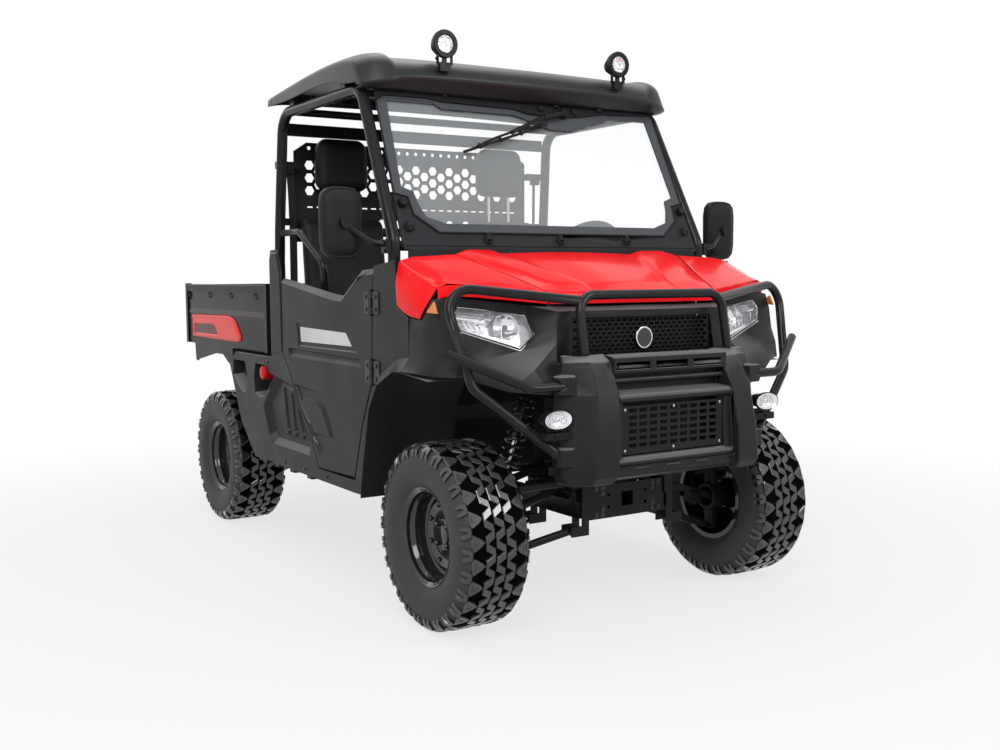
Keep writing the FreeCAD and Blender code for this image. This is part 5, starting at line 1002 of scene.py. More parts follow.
# ---------------------------------------------------------------- wings
# Painted panels outside the hood's gap, folded down over the door posts.
# A narrow painted lip runs below their front edge, over the lamps.
wing_rows = [
    [(509, -896, 1256), (590, -905, 1251), (690, -914, 1246), (744, -925, 1233), (763, -934, 1160),
     (762, -943, 1086)],
    [(478, -979, 1228), (575, -990, 1225), (682, -1000, 1216), (740, -1006, 1196), (765, -1008, 1120),
     (762, -1010, 1053)],
    [(424, -1093, 1186), (545, -1090, 1188), (672, -1078, 1184), (730, -1070, 1172), (763, -1066, 1105),
     (758, -1060, 1048)],
    [(392, -1198, 1147), (540, -1160, 1163), (688, -1122, 1167), (722, -1112, 1152), (757, -1092, 1080),
     (756, -1080, 1045)],
    [(370, -1256, 1125), (540, -1206, 1143), (690, -1153, 1158), (722, -1143, 1144), (755, -1104, 1066),
     (755, -1086, 1044)]]
for side, word in ((1, "left"), (-1, "right")):
    rows = [[(side * x, y, z) for x, y, z in row] for row in wing_rows]
    wing = skin_from("wing_skin_" + word, rows, [(2, 0.55), (3, 0.7), (4, 0.3)], [(3, 0.3)],
                     inward=-1.0 * side)
    fit(wing, body_red, "root", "body_red", "wings")
    front = rows[-1][:4]
    lip = [front, [(x, y - 1, z - 12) for x, y, z in front], [(x, y - 2, z - 36) for x, y, z in front]]
    fit(skin_from("wing_lip_" + word, lip, (), [(0, 0.9)], inward=-1.0 * side), body_red, "root",
        "body_red")

# ---------------------------------------------------------------- fascia
# One moulded nose round the grille and the lamps, grained black plastic.
# An amber side marker sits in each corner.
grained_black = finish_of("grained_black", (0.014, 0.0145, 0.0155), pale=0.55, gloss=(0.36, 0.5), patch=6,
                          mottle=0.12, grain=430, depth=0.0005, specular=0.16)
dress("fascia", "nose_moulding", 0.0012, grained_black, "root", "trim_black", over=38)
amber = finish_of("amber_lens", (0.80, 0.24, 0.05), gloss=(0.12, 0.2), coat=0.28, mottle=0.08, patch=40,
                  grain=260, depth=0.0004)
markers = []
for side in (-1, 1):
    low, high = [], []
    for x, y, z in ((750, -1120, 1066), (750, -1166, 1101), (749, -1186, 1063)):
        low.append((side * 0.744, y / 1000, z / 1000))
        high.append((side * (x + 1.5) / 1000, y / 1000, z / 1000))
    markers.append((low + high, [(0, 1, 2), (5, 4, 3), (0, 1, 4, 3), (1, 2, 5, 4), (2, 0, 3, 5)]))
make("side_markers", markers, 0.001, amber, "root", "lens_red", segments=2)

# ---------------------------------------------------------------- grille and radiator
# Honeycomb grille in black plastic with a plain bright-rimmed badge plate.
# The radiator's fins stand close behind it.
honeycomb = finish_of("honeycomb_black", (0.010, 0.010, 0.0105), gloss=(0.22, 0.34), patch=14, grain=500,
                      depth=0.0003)
dress("grille", "grille_mesh", 0.0008, honeycomb, "root", "trim_black", segments=1, over=60)
chrome = finish_of("chrome_plate", (0.72, 0.73, 0.75), gloss=(0.05, 0.13), metallic=1.0, mottle=0.05,
                   patch=9, grain=300, depth=0.0001)


def shield(scale, front, back):
    """Plain oval plate standing ahead of the grille."""
    outline = []
    for n in range(36):
        angle = 2 * math.pi * n / 36
        narrow = 1 - 0.10 * max(0.0, -math.sin(angle))
        outline.append((0.0370 * scale * math.cos(angle) * narrow,
                        0.968 + 0.0385 * scale * math.sin(angle)))
    return prism(*[[(x, y, z) for x, z in outline] for y in (front, back)])


make("badge_rim", [shield(1.0, -1.3085, -1.2985)], 0.0015, chrome, "root", "lamp_chrome")
make("badge_plate", [shield(0.86, -1.3098, -1.300)], 0.0012, gloss_black, "root", "trim_black")
core = [box_form((-0.292, 0.292), (-1.2760, -1.2560), (0.905, 1.036))]
for n in range(64):
    x = -0.288 + n * 0.00914
    core.append(box_form((x, x + 0.0010), (-1.2790, -1.2755), (0.908, 1.033)))
make("radiator_core", core, 0, dark_cast, "root", "trim_black")

# ---------------------------------------------------------------- headlamps
# Clear polycarbonate lens over a chromed housing: a panel of small diodes outboard over slanted
# vanes, a faceted bowl inboard, and a bright strip along the lower edge.
lamp_outline = [(660, 1082), (540, 1068), (425, 1056), (412, 982), (467, 944), (660, 1008), (679, 1053)]
lamp_normal = Vector((0.133, -0.933, 0.335))


def on_lamp(side, x, z, lift):
    """Point over (x, z) on the lamp's front plane, in metres, moved out of it by lift in millimetres."""
    y = -1157 - (lamp_normal.x * (x - 660) + lamp_normal.z * (z - 1082)) / lamp_normal.y
    at = Vector((x, y, z)) + lamp_normal * lift
    return Vector((side * at.x, at.y, at.z)) / 1000


def inside(outline, share):
    """Outline drawn in towards its middle."""
    cx = sum(x for x, z in outline) / len(outline)
    cz = sum(z for x, z in outline) / len(outline)
    return [(x + (cx - x) * share, z + (cz - z) * share) for x, z in outline]


def lamp_slab(side, outline, low, high, shrink=0.0):
    """Plate over an outline on the lamp's plane, its top drawn in a little."""
    return prism([on_lamp(side, x, z, low) for x, z in outline],
                 [on_lamp(side, x, z, high) for x, z in inside(outline, shrink)])


silver = finish_of("lamp_silver", (0.66, 0.67, 0.69), gloss=(0.18, 0.3), metallic=0.85, mottle=0.08,
                   patch=30, grain=500, depth=0.0002)
dark_lens = finish_of("lamp_dark", (0.03, 0.03, 0.033), gloss=(0.1, 0.2), coat=0.2, patch=20, grain=300)
shells, chromes, silvers, darks, diodes, lamp_lenses = [], [], [], [], [], []
for side in (-1, 1):
    shells.append(lamp_slab(side, lamp_outline, -40, -34))
    count = len(lamp_outline)
    rim_in = inside(lamp_outline, 0.035)
    edges = ((lamp_outline, -36), (lamp_outline, 1), (rim_in, 1), (rim_in, -36))
    ring = [on_lamp(side, x, z, lift) for edge, lift in edges for x, z in edge]
    back_walls = [(3 * count + n, 3 * count + (n + 1) % count, (n + 1) % count, n) for n in range(count)]
    shells.append((ring, walls(count, 3) + back_walls))
    silvers.append(lamp_slab(side, inside(lamp_outline, 0.04), -34, -31))
    led_plate = [(655, 1076), (556, 1064), (566, 1037), (664, 1051)]
    silvers.append(lamp_slab(side, led_plate, -22, -14, 0.03))
    for row in range(3):
        for column in range(11):
            share = (column + 0.7) / 12
            top = Vector((651 + (562 - 651) * share, 1072 + (1062 - 1072) * share))
            spot = top + Vector((3.0, -8.5)) * row
            face = on_lamp(side, spot.x, spot.y, -13.8)
            out = Vector((side * lamp_normal.x, lamp_normal.y, lamp_normal.z))
            diodes.append(turned([(0, 0.0004), (0, 0.0026), (0.0011, 0.0022), (0.0017, 0.0004)], 10, face,
                                 out))
    chromes.append(lamp_slab(side, [(666, 1047), (574, 1030), (545, 1062), (560, 1065), (583, 1037),
                                    (662, 1053)],
                             -24, -6, 0.0))
    for n in range(4):
        x = 648 - n * 19
        top_z = 1040 - n * 5
        chromes.append(lamp_slab(side, [(x, top_z), (x - 7, top_z - 2), (x - 16, top_z - 31),
                                        (x - 12, top_z - 33)],
                                 -28, -8, 0.0))
    centre = on_lamp(side, 497, 1017, -30)
    out = Vector((side * lamp_normal.x, lamp_normal.y, lamp_normal.z))
    bowl = [(0.0, 0.0005), (0.0005, 0.012), (0.004, 0.024), (0.012, 0.037), (0.022, 0.044),
            (0.0235, 0.0455),
            (0.021, 0.0455), (0.010, 0.0390), (-0.001, 0.0240), (-0.002, 0.0005)]
    chromes.append(turned(bowl, 26, centre, out))
    darks.append(turned([(0.001, 0.0005), (0.001, 0.010), (0.016, 0.009), (0.020, 0.006), (0.021, 0.0005)],
                        20,
                        centre, out))
    for n in range(7):
        angle = math.pi * (0.12 + n * 0.13)
        x, z = 497 + 52 * math.cos(angle), 1017 + 34 * math.sin(angle)
        darks.append(lamp_slab(side, [(x - 5, z - 3), (x + 5, z - 3), (x + 5, z + 3), (x - 5, z + 3)], -26,
                               -12, 0.1))
    chromes.append(lamp_slab(side, [(655, 1003), (470, 952), (458, 961), (478, 967), (652, 1010)], -26, -4,
                             0.0))
    silvers.append(lamp_slab(side, [(509, 1040), (506, 1040), (517, 975), (520, 975)], -30, -10))
    lamp_lenses.append(lamp_slab(side, inside(lamp_outline, 0.012), 1.2, 3.6, 0.004))
    edge_line = [on_lamp(side, x, z, 2.5) for x, z in inside(lamp_outline, 0.008)]
    chromes.append(swept(edge_line + edge_line[:1], 0.0016, 6, capped=False))
    lower = [on_lamp(side, x, z, 3.0) for x, z in ((663, 1002), (468, 936), (405, 980), (417, 1030))]
    chromes.append(swept(lower, 0.0021, 8))
make("headlamp_shells", shells, 0.0008, gloss_black, "root", "trim_black", "headlamps")
make("headlamp_silver", silvers, 0.0008, silver, "root", "lamp_chrome")
make("headlamp_chrome", chromes, 0.0006, bright, "root", "lamp_chrome", over=40)
make("headlamp_dark", darks, 0.0006, dark_lens, "root", "trim_black", over=40)
make("headlamp_diodes", diodes, 0, dark_cast, "root", "lamp_chrome", over=50)
make("headlamp_lenses", lamp_lenses, 0, lens_clear, "root", "lamp_clear")

# ---------------------------------------------------------------- front fenders
# Moulded panels ahead of the doors with a flared arch and a liner over each wheel.
# Grained dark plastic, a little greyer than the nose.
panel_plastic = finish_of("panel_plastic", (0.018, 0.018, 0.019), pale=0.7, gloss=(0.38, 0.5), patch=5,
                          mottle=0.10, grain=480, depth=0.0004, specular=0.15)
dress("front_fenders", "fender_mouldings", 0.0012, panel_plastic, "root", "panel_grey", over=40)

# ---------------------------------------------------------------- bumper
# Thick rotation-moulded bumper, its uprights leaning back at the top.
# Three slots, two louvres and the guard plate's frame lie between them.
dress("bumper", "bumper_moulding", 0.0055, grained_black, "root", "trim_black", segments=4, over=28)
slot_frame = [box_form((-0.246, 0.246), (-1.4535, -1.4420), span)
              for span in ((0.8640, 0.8750), (0.8985, 0.9160))]
slot_frame += [box_form(span, (-1.4535, -1.4420), (0.8700, 0.9050))
               for span in ((-0.246, -0.234), (-0.094, -0.068), (0.070, 0.096), (0.221, 0.246))]
make("slot_frame", slot_frame, 0.003, grained_black, "root", "trim_black", segments=3)
grooves = [box_form((x - 0.030, x + 0.030), (-1.4800, -1.4730), (0.549, 0.555))
           for x in (-0.146, -0.015, 0.116)]
make("chin_ribs", grooves, 0.002, panel_plastic, "root", "trim_black")

# ---------------------------------------------------------------- guard plate
# Laser-cut steel plate, powder-coated black, screwed into the bumper's frame.
# Six small zinc screws hold it.
plate_black = finish_of("plate_black", (0.012, 0.012, 0.013), gloss=(0.45, 0.6), grain=800, depth=0.0003)
dress("guard_plate", "guard_plate_steel", 0, plate_black, "root", "frame_black")
screws = []
for x, z in ((-0.208, 0.610), (0.0, 0.609), (0.208, 0.610), (-0.208, 0.745), (0.0, 0.746), (0.208, 0.745)):
    screws.append(turned([(-0.001, 0.0005), (-0.001, 0.0050), (0.0012, 0.0046), (0.0026, 0.0026),
                          (0.0028, 0.0005)], 16,
                         (x, -1.462, z), (0, -1, 0)))
make("guard_screws", screws, 0, zinc, "root", "rod_chrome")

# ---------------------------------------------------------------- guard bar
# Bent and welded steel tube round the nose, satin black.
# The side loops and the braces meet it in plain joints.
dress("bull_bar", "guard_bar", 0, satin_tube, "root", "tube_black", over=50)

# ---------------------------------------------------------------- fog lamps
# Oval lamps with a chromed bowl and ring, on a folded steel bracket beside each upright.
# A cup behind holds the bulb.


def oval(form, centre, width, height):
    """Form turned about Y, squeezed to an oval."""
    points, faces = form
    return [Vector((centre[0] + (p[0] - centre[0]) * width, p[1], centre[2] + (p[2] - centre[2]) * height))
            for p in points], faces


fog_shells, fog_bowls, fog_glass, fog_dark = [], [], [], []
for side in (-1, 1):
    centre = (side * 0.458, -1.443, 0.729)
    ahead = (0, -1, 0)
    fog_shells.append(oval(turned([(-0.054, 0.0005), (-0.054, 0.026), (-0.020, 0.030), (-0.012, 0.036),
                                   (-0.002, 0.0365), (-0.0015, 0.0335), (-0.016, 0.0300), (-0.040, 0.0005)],
                                  40, centre,
                                  ahead), centre, 1.54, 0.88))
    fog_bowls.append(oval(turned([(-0.0145, 0.0005), (-0.0135, 0.014), (-0.008, 0.026), (-0.0016, 0.0330),
                                  (0.0000, 0.0366), (-0.0004, 0.0372), (-0.006, 0.0372), (-0.010, 0.0340),
                                  (-0.018, 0.0005)], 40, centre, ahead), centre, 1.38, 0.78))
    fog_glass.append(oval(turned([(-0.0016, 0.0005), (-0.0016, 0.0345), (-0.0004, 0.0345), (0.0000, 0.0320),
                                  (0.0000, 0.0005)], 40, centre, ahead), centre, 1.38, 0.78))
    fog_dark.append(turned([(-0.014, 0.0005), (-0.014, 0.0075), (-0.006, 0.0065), (-0.004, 0.0005)], 18,
                           centre, ahead))
    for n in range(9):
        x = centre[0] + (n - 4) * 0.0085
        reach = 0.028 * math.sqrt(max(0.0, 1 - ((n - 4) / 5.2) ** 2))
        fog_bowls.append(box_form((x - 0.0007, x + 0.0007), (-1.4380, -1.4350),
                                  (0.729 - reach, 0.729 + reach)))
    fog_shells += [box_form((side * 0.400, side * 0.500), (-1.435, -1.402), (0.6838, 0.6870)),
                   box_form((side * 0.4970, side * 0.5002), (-1.435, -1.402), (0.664, 0.687)),
                   box_form((side * 0.400, side * 0.500), (-1.4352, -1.4325), (0.664, 0.687))]
    fog_shells += bolt((side * 0.462, -1.4352, 0.676), (0, -1, 0), 0.006, 0.005)
make("fog_lamp_shells", fog_shells, 0, lamp_black, "root", "trim_black", "fog_lamps", over=40)
make("fog_lamp_bowls", fog_bowls, 0, bright, "root", "lamp_chrome", over=50)
make("fog_lamp_glass", fog_glass, 0, lens_clear, "root", "lamp_clear", over=50)
make("fog_lamp_bulbs", fog_dark, 0, silver, "root", "lamp_chrome", over=50)

# ---------------------------------------------------------------- doors
# Half doors moulded in grained dark plastic, with pressed creases and a bare silver plate.
# Each swings on two bolted hinges at its front edge.


def shift(outline, by):
    """Outline moved inwards; by is one distance or one for each edge, in the outline's units."""
    count = len(outline)
    turns = sum(outline[i][0] * outline[(i + 1) % count][1] - outline[(i + 1) % count][0] * outline[i][1]
                for i in range(count))
    sign = 1 if turns > 0 else -1
    steps = by if isinstance(by, (list, tuple)) else [by] * count
    lines = []
    for i in range(count):
        a, b = Vector(outline[i]), Vector(outline[(i + 1) % count])
        run = (b - a).normalized()
        inwards = Vector((-run.y, run.x)) * sign
        lines.append((a + inwards * steps[i], run))
    moved = []
    for i in range(count):
        (p, u), (q, v) = lines[i - 1], lines[i]
        cross = u.x * v.y - u.y * v.x
        if abs(cross) < 1e-6:
            moved.append(tuple(q))
            continue
        gap = q - p
        along = (gap.x * v.y - gap.y * v.x) / cross
        moved.append(tuple(p + u * along))
    return moved


def side_pad(side, outline, low, high, slope):
    """Pad or pocket on the side: an outline of (y, z) at x = low, drawn in by its slope at x = high."""
    return prism([Vector((side * low, y, z)) / 1000 for y, z in outline],
                 [Vector((side * high, y, z)) / 1000 for y, z in shift(outline, slope)], foot=False)


def side_sheet(side, outline, holes, face, thick):
    """Flat sheet on the side at x = face, with holes, and walls round its outline."""
    loops = [outline] + holes
    flat = [Vector((y, z, 0)) for loop in loops for y, z in loop]
    triangles = tessellate_polygon([[Vector((y, z, 0)) for y, z in loop] for loop in loops])
    count = len(outline)
    points = [Vector((side * face, p.x, p.y)) / 1000 for p in flat]
    points += [Vector((side * (face - thick), p.x, p.y)) / 1000 for p in flat]
    faces = [tuple(t) for t in triangles]
    start = len(flat)
    faces += [tuple(start + n for n in reversed(t)) for t in triangles]
    faces += [(n, (n + 1) % count, start + (n + 1) % count, start + n) for n in range(count)]
    return points, faces


def join_sheet(name, forms, merge=0.00004):
    """Piece made of forms whose meeting points are merged."""
    piece = put(name, *forms)
    form = bmesh.new()
    form.from_mesh(piece.data)
    bmesh.ops.remove_doubles(form, verts=form.verts, dist=merge)
    bmesh.ops.recalc_face_normals(form, faces=form.faces)
    form.to_mesh(piece.data)
    form.free()
    return piece


brushed = finish_of("brushed_plate", (0.60, 0.60, 0.61), gloss=(0.30, 0.42), metallic=0.75, mottle=0.14,
                    patch=4, grain=900, depth=0.0001)
# Near-black, barely reflecting finish: painted shade for the gaps between parts.
gap_shade_black = finish_of("seal_rubber", (0.003, 0.003, 0.003), gloss=(0.85, 0.95), patch=20, grain=900,
                      specular=0.025)
door_edge = [(-751, 1190), (-747, 1136), (-727, 1136), (-727, 1046), (-741, 1046), (-733, 894), (-724, 894),
             (-724, 801),
             (-646, 650), (-576, 448), (-247, 439), (-186, 540), (-149, 596), (-70, 656), (28, 795),
             (99, 874),
             (104, 1158), (-400, 1095), (-484, 1092), (-646, 1184)]
door_back = [(-751, 1212), (-746, 1136), (-727, 1136), (-727, 1046), (-741, 1046), (-733, 894), (-724, 894),
             (-724, 801),
             (-646, 650), (-576, 448), (-247, 439), (-186, 540), (-149, 596), (-70, 656), (28, 795),
             (99, 874),
             (104, 1179), (-406, 1118), (-477, 1114), (-640, 1206)]
plate_pocket = [(-52, 1001), (-524, 991), (-614, 908), (-72, 906)]
groove_pocket = [(44, 895), (-634, 887), (-642, 856), (26, 858)]
crease_pocket = [(-14, 752), (-246, 739), (-324, 712), (-404, 576), (-503, 486), (-262, 486), (-214, 536),
                 (-190, 552), (-158, 602), (-82, 660)]
door_bone = [(-78, 700), (-217, 712), (-300, 684), (-366, 592), (-362, 564), (-203, 562), (-168, 604),
             (-88, 666)]
HINGE_SPANS = ((805, 890), (1050, 1132))
HINGE_X, HINGE_Y = 0.766, -0.740
for side, word in ((1, "left"), (-1, "right")):
    body = "door_" + word
    forms = [side_sheet(side, door_edge, [plate_pocket, groove_pocket, crease_pocket], 760, 14)]
    forms.append(side_pad(side, plate_pocket, 760, 755.5, [5, 6, 6, 5]))
    forms.append(side_pad(side, groove_pocket, 760, 751, [6, 3, 17, 3]))
    forms.append(side_pad(side, crease_pocket, 760, 751, [9, 9, 9, 12, 22, 10, 6, 6, 6, 6]))
    band = [Vector((side * x, y, z)) / 1000 for x, loop in ((760, door_edge), (745, door_back))
            for y, z in [loop[0]] + loop[:-5:-1]]
    forms.append((band, [(n, n + 1, n + 6, n + 5) for n in range(4)]))
    skin = join_sheet("door_skin_" + word, forms)
    fit(round_edges(skin, 0.0028, 3, over=14), panel_plastic, body, "panel_grey", body)
    make("door_crease_" + word, [side_pad(side, door_bone, 750, 758.5, [18, 20, 22, 16, 12, 5, 5, 5])],
         0.003, panel_plastic, body, "panel_grey", segments=3, over=14)
    # The strip along the door's rear and lower edge is a seal whose near-black finish is painted shade in
    # the gap.
    seal = swept([Vector((side * 756.5, y + 2.5, z - 1)) / 1000 for y, z in door_edge[7:17]], 0.0034, 6)
    make("door_seal_" + word, [seal], 0, gap_shade_black, "root", "wiper_rubber", over=60)
    inner = put("door_inner_" + word, side_pad(side, door_back, 745.5, 722, 6),
                side_pad(side, [(60, 1080), (-560, 1040), (-600, 860), (20, 860)], 723, 719, 10))
    fit(round_edges(inner, 0.002), panel_plastic, body, "panel_grey")
    plate_edge = [(-84, 985), (-513, 977), (-563, 928), (-90, 925)]
    plate = put("door_plate_" + word, side_pad(side, plate_edge, 755, 757.6, 1))
    fit(round_edges(plate, 0.0006), brushed, body, "lamp_chrome")
    lines = [side_pad(side, [(y, 984), (y - 2.6, 984), (y - 3.4, 928), (y - 0.8, 928)], 757, 758.3, 0.4)
             for y in (-100, -108, -116, -124, -132)]
    make("door_plate_ribs_" + word, lines, 0, brushed, body, "lamp_chrome")
    leaves, knuckles = [], []
    for low, high in HINGE_SPANS:
        third = (high - low) / 3
        knuckles.append(turned([(0.0, 0.0025), (0.0, 0.0088), (third / 1000 - 0.001, 0.0088),
                                (third / 1000 - 0.001, 0.0025)], 22,
                               (side * HINGE_X, HINGE_Y, (low + third + 0.5) / 1000), (0, 0, 1)))
        leaves.append(side_pad(side, [(-729, low + 2), (-690, low + 2), (-686, low + 7), (-686, high - 7),
                                      (-690, high - 2), (-729, high - 2)], 756, 764.5, 1.2))
        leaves.append(side_pad(side, [(-742, low + third + 1), (-726, low + third + 1),
                                      (-726, high - third - 1),
                                      (-742, high - third - 1)], 758, 766.5, 0.6))
        for z in (low + 19, high - 19):
            leaves += bolt((side * 0.7644, -0.705, z / 1000), (side, 0, 0), 0.0068, 0.0055)
    make("door_hinge_leaves_" + word, [*leaves, *knuckles], 0.0008, black_steel, body, "steel_dark",
         over=30)
    catch = [side_pad(side, [(96, 1010), (60, 1010), (60, 960), (96, 960)], 723, 716, 3)]
    make("door_latch_" + word, catch, 0.002, dark_cast, body, "steel_dark")

# ---------------------------------------------------------------- fixed hinge leaves
# Pressed steel leaves bolted to the door post beside each door.
# Their pins pass through the doors' knuckles.
fixed = []
for side in (-1, 1):
    for low, high in HINGE_SPANS:
        third = (high - low) / 3
        fixed.append(side_pad(side, [(-754, low + 1), (-796, low + 1), (-800, low + 6), (-800, high - 6),
                                     (-796, high - 1),
                                     (-754, high - 1)], 756.6, 765, 1.2))
        for foot in (low, high - third):
            fixed.append(side_pad(side, [(-756, foot + 1), (-738, foot + 1), (-738, foot + third - 1),
                                         (-756, foot + third - 1)], 760, 766.5, 0.5))
            fixed.append(turned([(0.0, 0.0003), (0.0, 0.0088), (third / 1000, 0.0088),
                                 (third / 1000, 0.0003)], 22,
                                (side * HINGE_X, HINGE_Y, foot / 1000), (0, 0, 1)))
        fixed.append(turned([(0.0, 0.0003), (0.0, 0.0055), (0.003, 0.0055), (0.005, 0.0003)], 16,
                            (side * HINGE_X, HINGE_Y, high / 1000), (0, 0, 1)))
        for z in (low + 19, high - 19):
            fixed += bolt((side * 0.7649, -0.778, z / 1000), (side, 0, 0), 0.0068, 0.0055)
make("post_hinge_leaves", fixed, 0.0008, black_steel, "root", "steel_dark", "door_hinges", over=30)

# ---------------------------------------------------------------- rear side panels
# Moulded panel behind each door, with a sunk step of raised ribs and two openings under the bed.
# A sill strip runs on below the door, and a red fuel cap stands in the left front opening.
panel_edge = [(112, 1200), (150, 1296), (232, 1296), (250, 1255), (250, 843), (700, 843), (788, 790),
              (645, 532),
              (475, 388), (409, 388), (405, 388), (380, 388), (372, 388), (263, 392), (258, 388),
              (232, 388), (222, 388),
              (64, 388), (-186, 388), (-576, 388), (-576, 433), (-240, 433), (-180, 534), (-143, 590),
              (-64, 650),
              (34, 790), (105, 868)]
rear_opening = [(728, 806), (580, 806), (562, 764), (548, 706), (572, 672), (612, 662), (676, 690),
                (736, 738)]
front_opening = [(446, 806), (330, 802), (296, 776), (216, 766), (344, 668), (402, 660), (456, 676),
                 (464, 740)]
step_pocket = [(196, 762), (356, 630), (292, 505), (240, 472), (-138, 470), (-160, 520), (-122, 575),
               (-50, 642),
               (30, 742)]
tread_plate = [(176, 740), (54, 720), (-98, 552), (-114, 524), (146, 520), (216, 630)]
pillar_face = [(240, 1252), (226, 1286), (156, 1286), (120, 1198), (113, 872), (240, 852)]
for side, word in ((1, "left"), (-1, "right")):
    holes = [rear_opening, front_opening, step_pocket]
    forms = [side_sheet(side, panel_edge, holes, 754, 4)]
    forms.append(side_pad(side, rear_opening, 754, 700, 9))
    forms.append(side_pad(side, front_opening, 754, 690, 9))
    forms.append(side_pad(side, step_pocket, 754, 732, [26, 30, 30, 30, 10, 8, 8, 8, 8]))
    skin = join_sheet("side_skin_" + word, forms)
    fit(round_edges(skin, 0.003, 3, over=14), panel_plastic, "root", "panel_grey", "side_panels")
    # Painted shade: a near-black block under the bed's edge fills the slit there with the look of shadow.
    rest = box_form((side * 0.690, side * 0.736), (0.262, 0.792), (0.800, 0.8525))
    make("bed_rest_" + word, [rest], 0.002, gap_shade_black, "root", "wiper_rubber")
    pads = [side_pad(side, tread_plate, 731, 739, [6, 5, 5, 5, 5, 5]),
            side_pad(side, pillar_face, 753, 759, 7)]
    make("side_pads_" + word, pads, 0.0025, panel_plastic, "root", "panel_grey", segments=3, over=20)
    ridges = []
    for top, foot in (((141, 722), (104, 540)), ((62, 702), (24, 538)), ((-8, 640), (-56, 538))):
        a, b = [Vector((side * 739, y, z)) / 1000 for y, z in (top, foot)]
        ridges.append(swept([a + (b - a) * n / 10 for n in range(11)], 0.0062, 12))
        ridges.append(turned([(-0.004, 0.0003), (-0.004, 0.013), (0.003, 0.0125), (0.0062, 0.009),
                              (0.0068, 0.0003)], 24,
                             b, (side, 0, 0)))
    make("side_ridges_" + word, ridges, 0, panel_plastic, "root", "panel_grey", over=50)
    dark = [side_pad(side, [(604, 800), (590, 800), (590, 668), (604, 668)], 704, 734, 2),
            box_form((side * 0.700, side * 0.752), (0.470, 0.556), (0.660, 0.806))]
    make("side_braces_" + word, dark, 0.004, panel_plastic, "root", "panel_grey")
    sill = [box_form((side * 0.714, side * 0.7535), (-0.560, 0.400), (0.4290, 0.4330)),
            box_form((side * 0.716, side * 0.7535), (0.246, 0.250), (0.860, 1.255))]
    sill.append(box_form((side * 0.600, side * 0.7525), (0.252, 0.700), (0.8385, 0.8425)))
    sill += [box_form((side * 0.722, side * 0.7545), (y, y + 0.046), (0.3765, 0.392))
             for y in (0.330, 0.190, 0.020, -0.160)]
    make("sill_strip_" + word, sill, 0.0015, panel_plastic, "root", "panel_grey")
    studs = []
    for y, z in ((0.300, 0.818), (-0.310, 0.410), (-0.090, 0.410), (0.120, 0.410)):
        studs += bolt((side * 0.7540, y, z), (side, 0, 0), 0.0048, 0.0040)
    make("side_studs_" + word, studs, 0, black_steel, "root", "steel_dark", over=30)
    cap_red = finish_of("cap_red_" + word, (0.62, 0.010, 0.016), gloss=(0.3, 0.42), mottle=0.08, patch=12,
                        grain=500, depth=0.0003)
    cap = [turned([(-0.062, 0.0005), (-0.062, 0.0250), (-0.004, 0.0250), (0.000, 0.0275), (0.004, 0.0280),
                   (0.0115, 0.0265), (0.0135, 0.0240), (0.0135, 0.0005)], 40, (side * 0.7540, 0.334, 0.771),
                  (side, 0, 0))]
    for n in range(14):
        angle = 2 * math.pi * n / 14
        y, z = 0.334 + 0.0272 * math.cos(angle), 0.771 + 0.0272 * math.sin(angle)
        cap.append(turned([(-0.020, 0.0003), (-0.020, 0.0024), (0.010, 0.0024), (0.012, 0.0003)], 8,
                          (side * 0.7540, y, z), (side, 0, 0)))
    cap.append(box_form((side * 0.760, side * 0.7678), (0.329, 0.339), (0.748, 0.794)))
    make("fuel_cap_" + word, cap, 0.0012, cap_red, "root", "body_red", over=40)

# ---------------------------------------------------------------- mirrors
# Moulded head on a bent steel arm, clamped to the windscreen tube.
# The glass faces back.
heads, arms, panes = [], [], []
for side in (-1, 1):
    x, y, z = 874, -745, 1366
    half = [(22, -122), (50, -116), (68, -98), (75, -62), (76, 62), (70, 98), (52, 117), (22, 123)]
    loop = half + [(-px, pz) for px, pz in reversed(half)]
    rings = []
    for run, inset in ((-29, 42), (-27, 30), (-22, 18), (-13, 10), (-14, 6), (-12, 2), (-6, 0), (14, 0),
                       (18, 1.5),
                       (20, 5)):
        drawn = shift(loop, inset) if inset else loop
        rings.append([Vector((side * (x + px), y + run, z + pz)) / 1000 for px, pz in drawn])
    count = len(loop)
    points = [p for ring in rings for p in ring]
    ends = [tuple(range(count)), tuple(len(points) - 1 - n for n in range(count))]
    heads.append((points, ends + walls(count, len(rings) - 1)))
    glass = shift(loop, 8)
    panes.append(prism(*[[Vector((side * (x + px), y + run, z + pz)) / 1000 for px, pz in glass]
                         for run in (19.5, 20.6)]))
    line = [Vector((side * 722, -802, 1292)), Vector((side * 778, -804.5, 1298.6)),
            Vector((side * 788, -803, 1300.5)),
            Vector((side * 796, -798, 1304.5)), Vector((side * 874, -762, 1366))]
    arms.append(swept([p / 1000 for p in line], 0.010, 14))
    arms.append(box_form((side * 0.7205, side * 0.7405), (-0.820, -0.784), (1.262, 1.310)))
    arms += bolt((side * 0.7405, -0.810, 1.272), (side, 0, 0), 0.005, 0.005)
    arms += bolt((side * 0.7405, -0.794, 1.302), (side, 0, 0), 0.005, 0.005)
    arms.append(turned([(-0.018, 0.0003), (-0.018, 0.019), (0.004, 0.021), (0.008, 0.0003)], 24,
                       (side * 0.874, -0.774, 1.366), (0, 1, 0)))
make("mirror_heads", heads, 0, dash_plastic, "root", "trim_black", "mirrors", over=40)
make("mirror_arms", arms, 0, satin_tube, "root", "tube_black", over=40)
make("mirror_panes", panes, 0, bright, "root", "lamp_chrome")

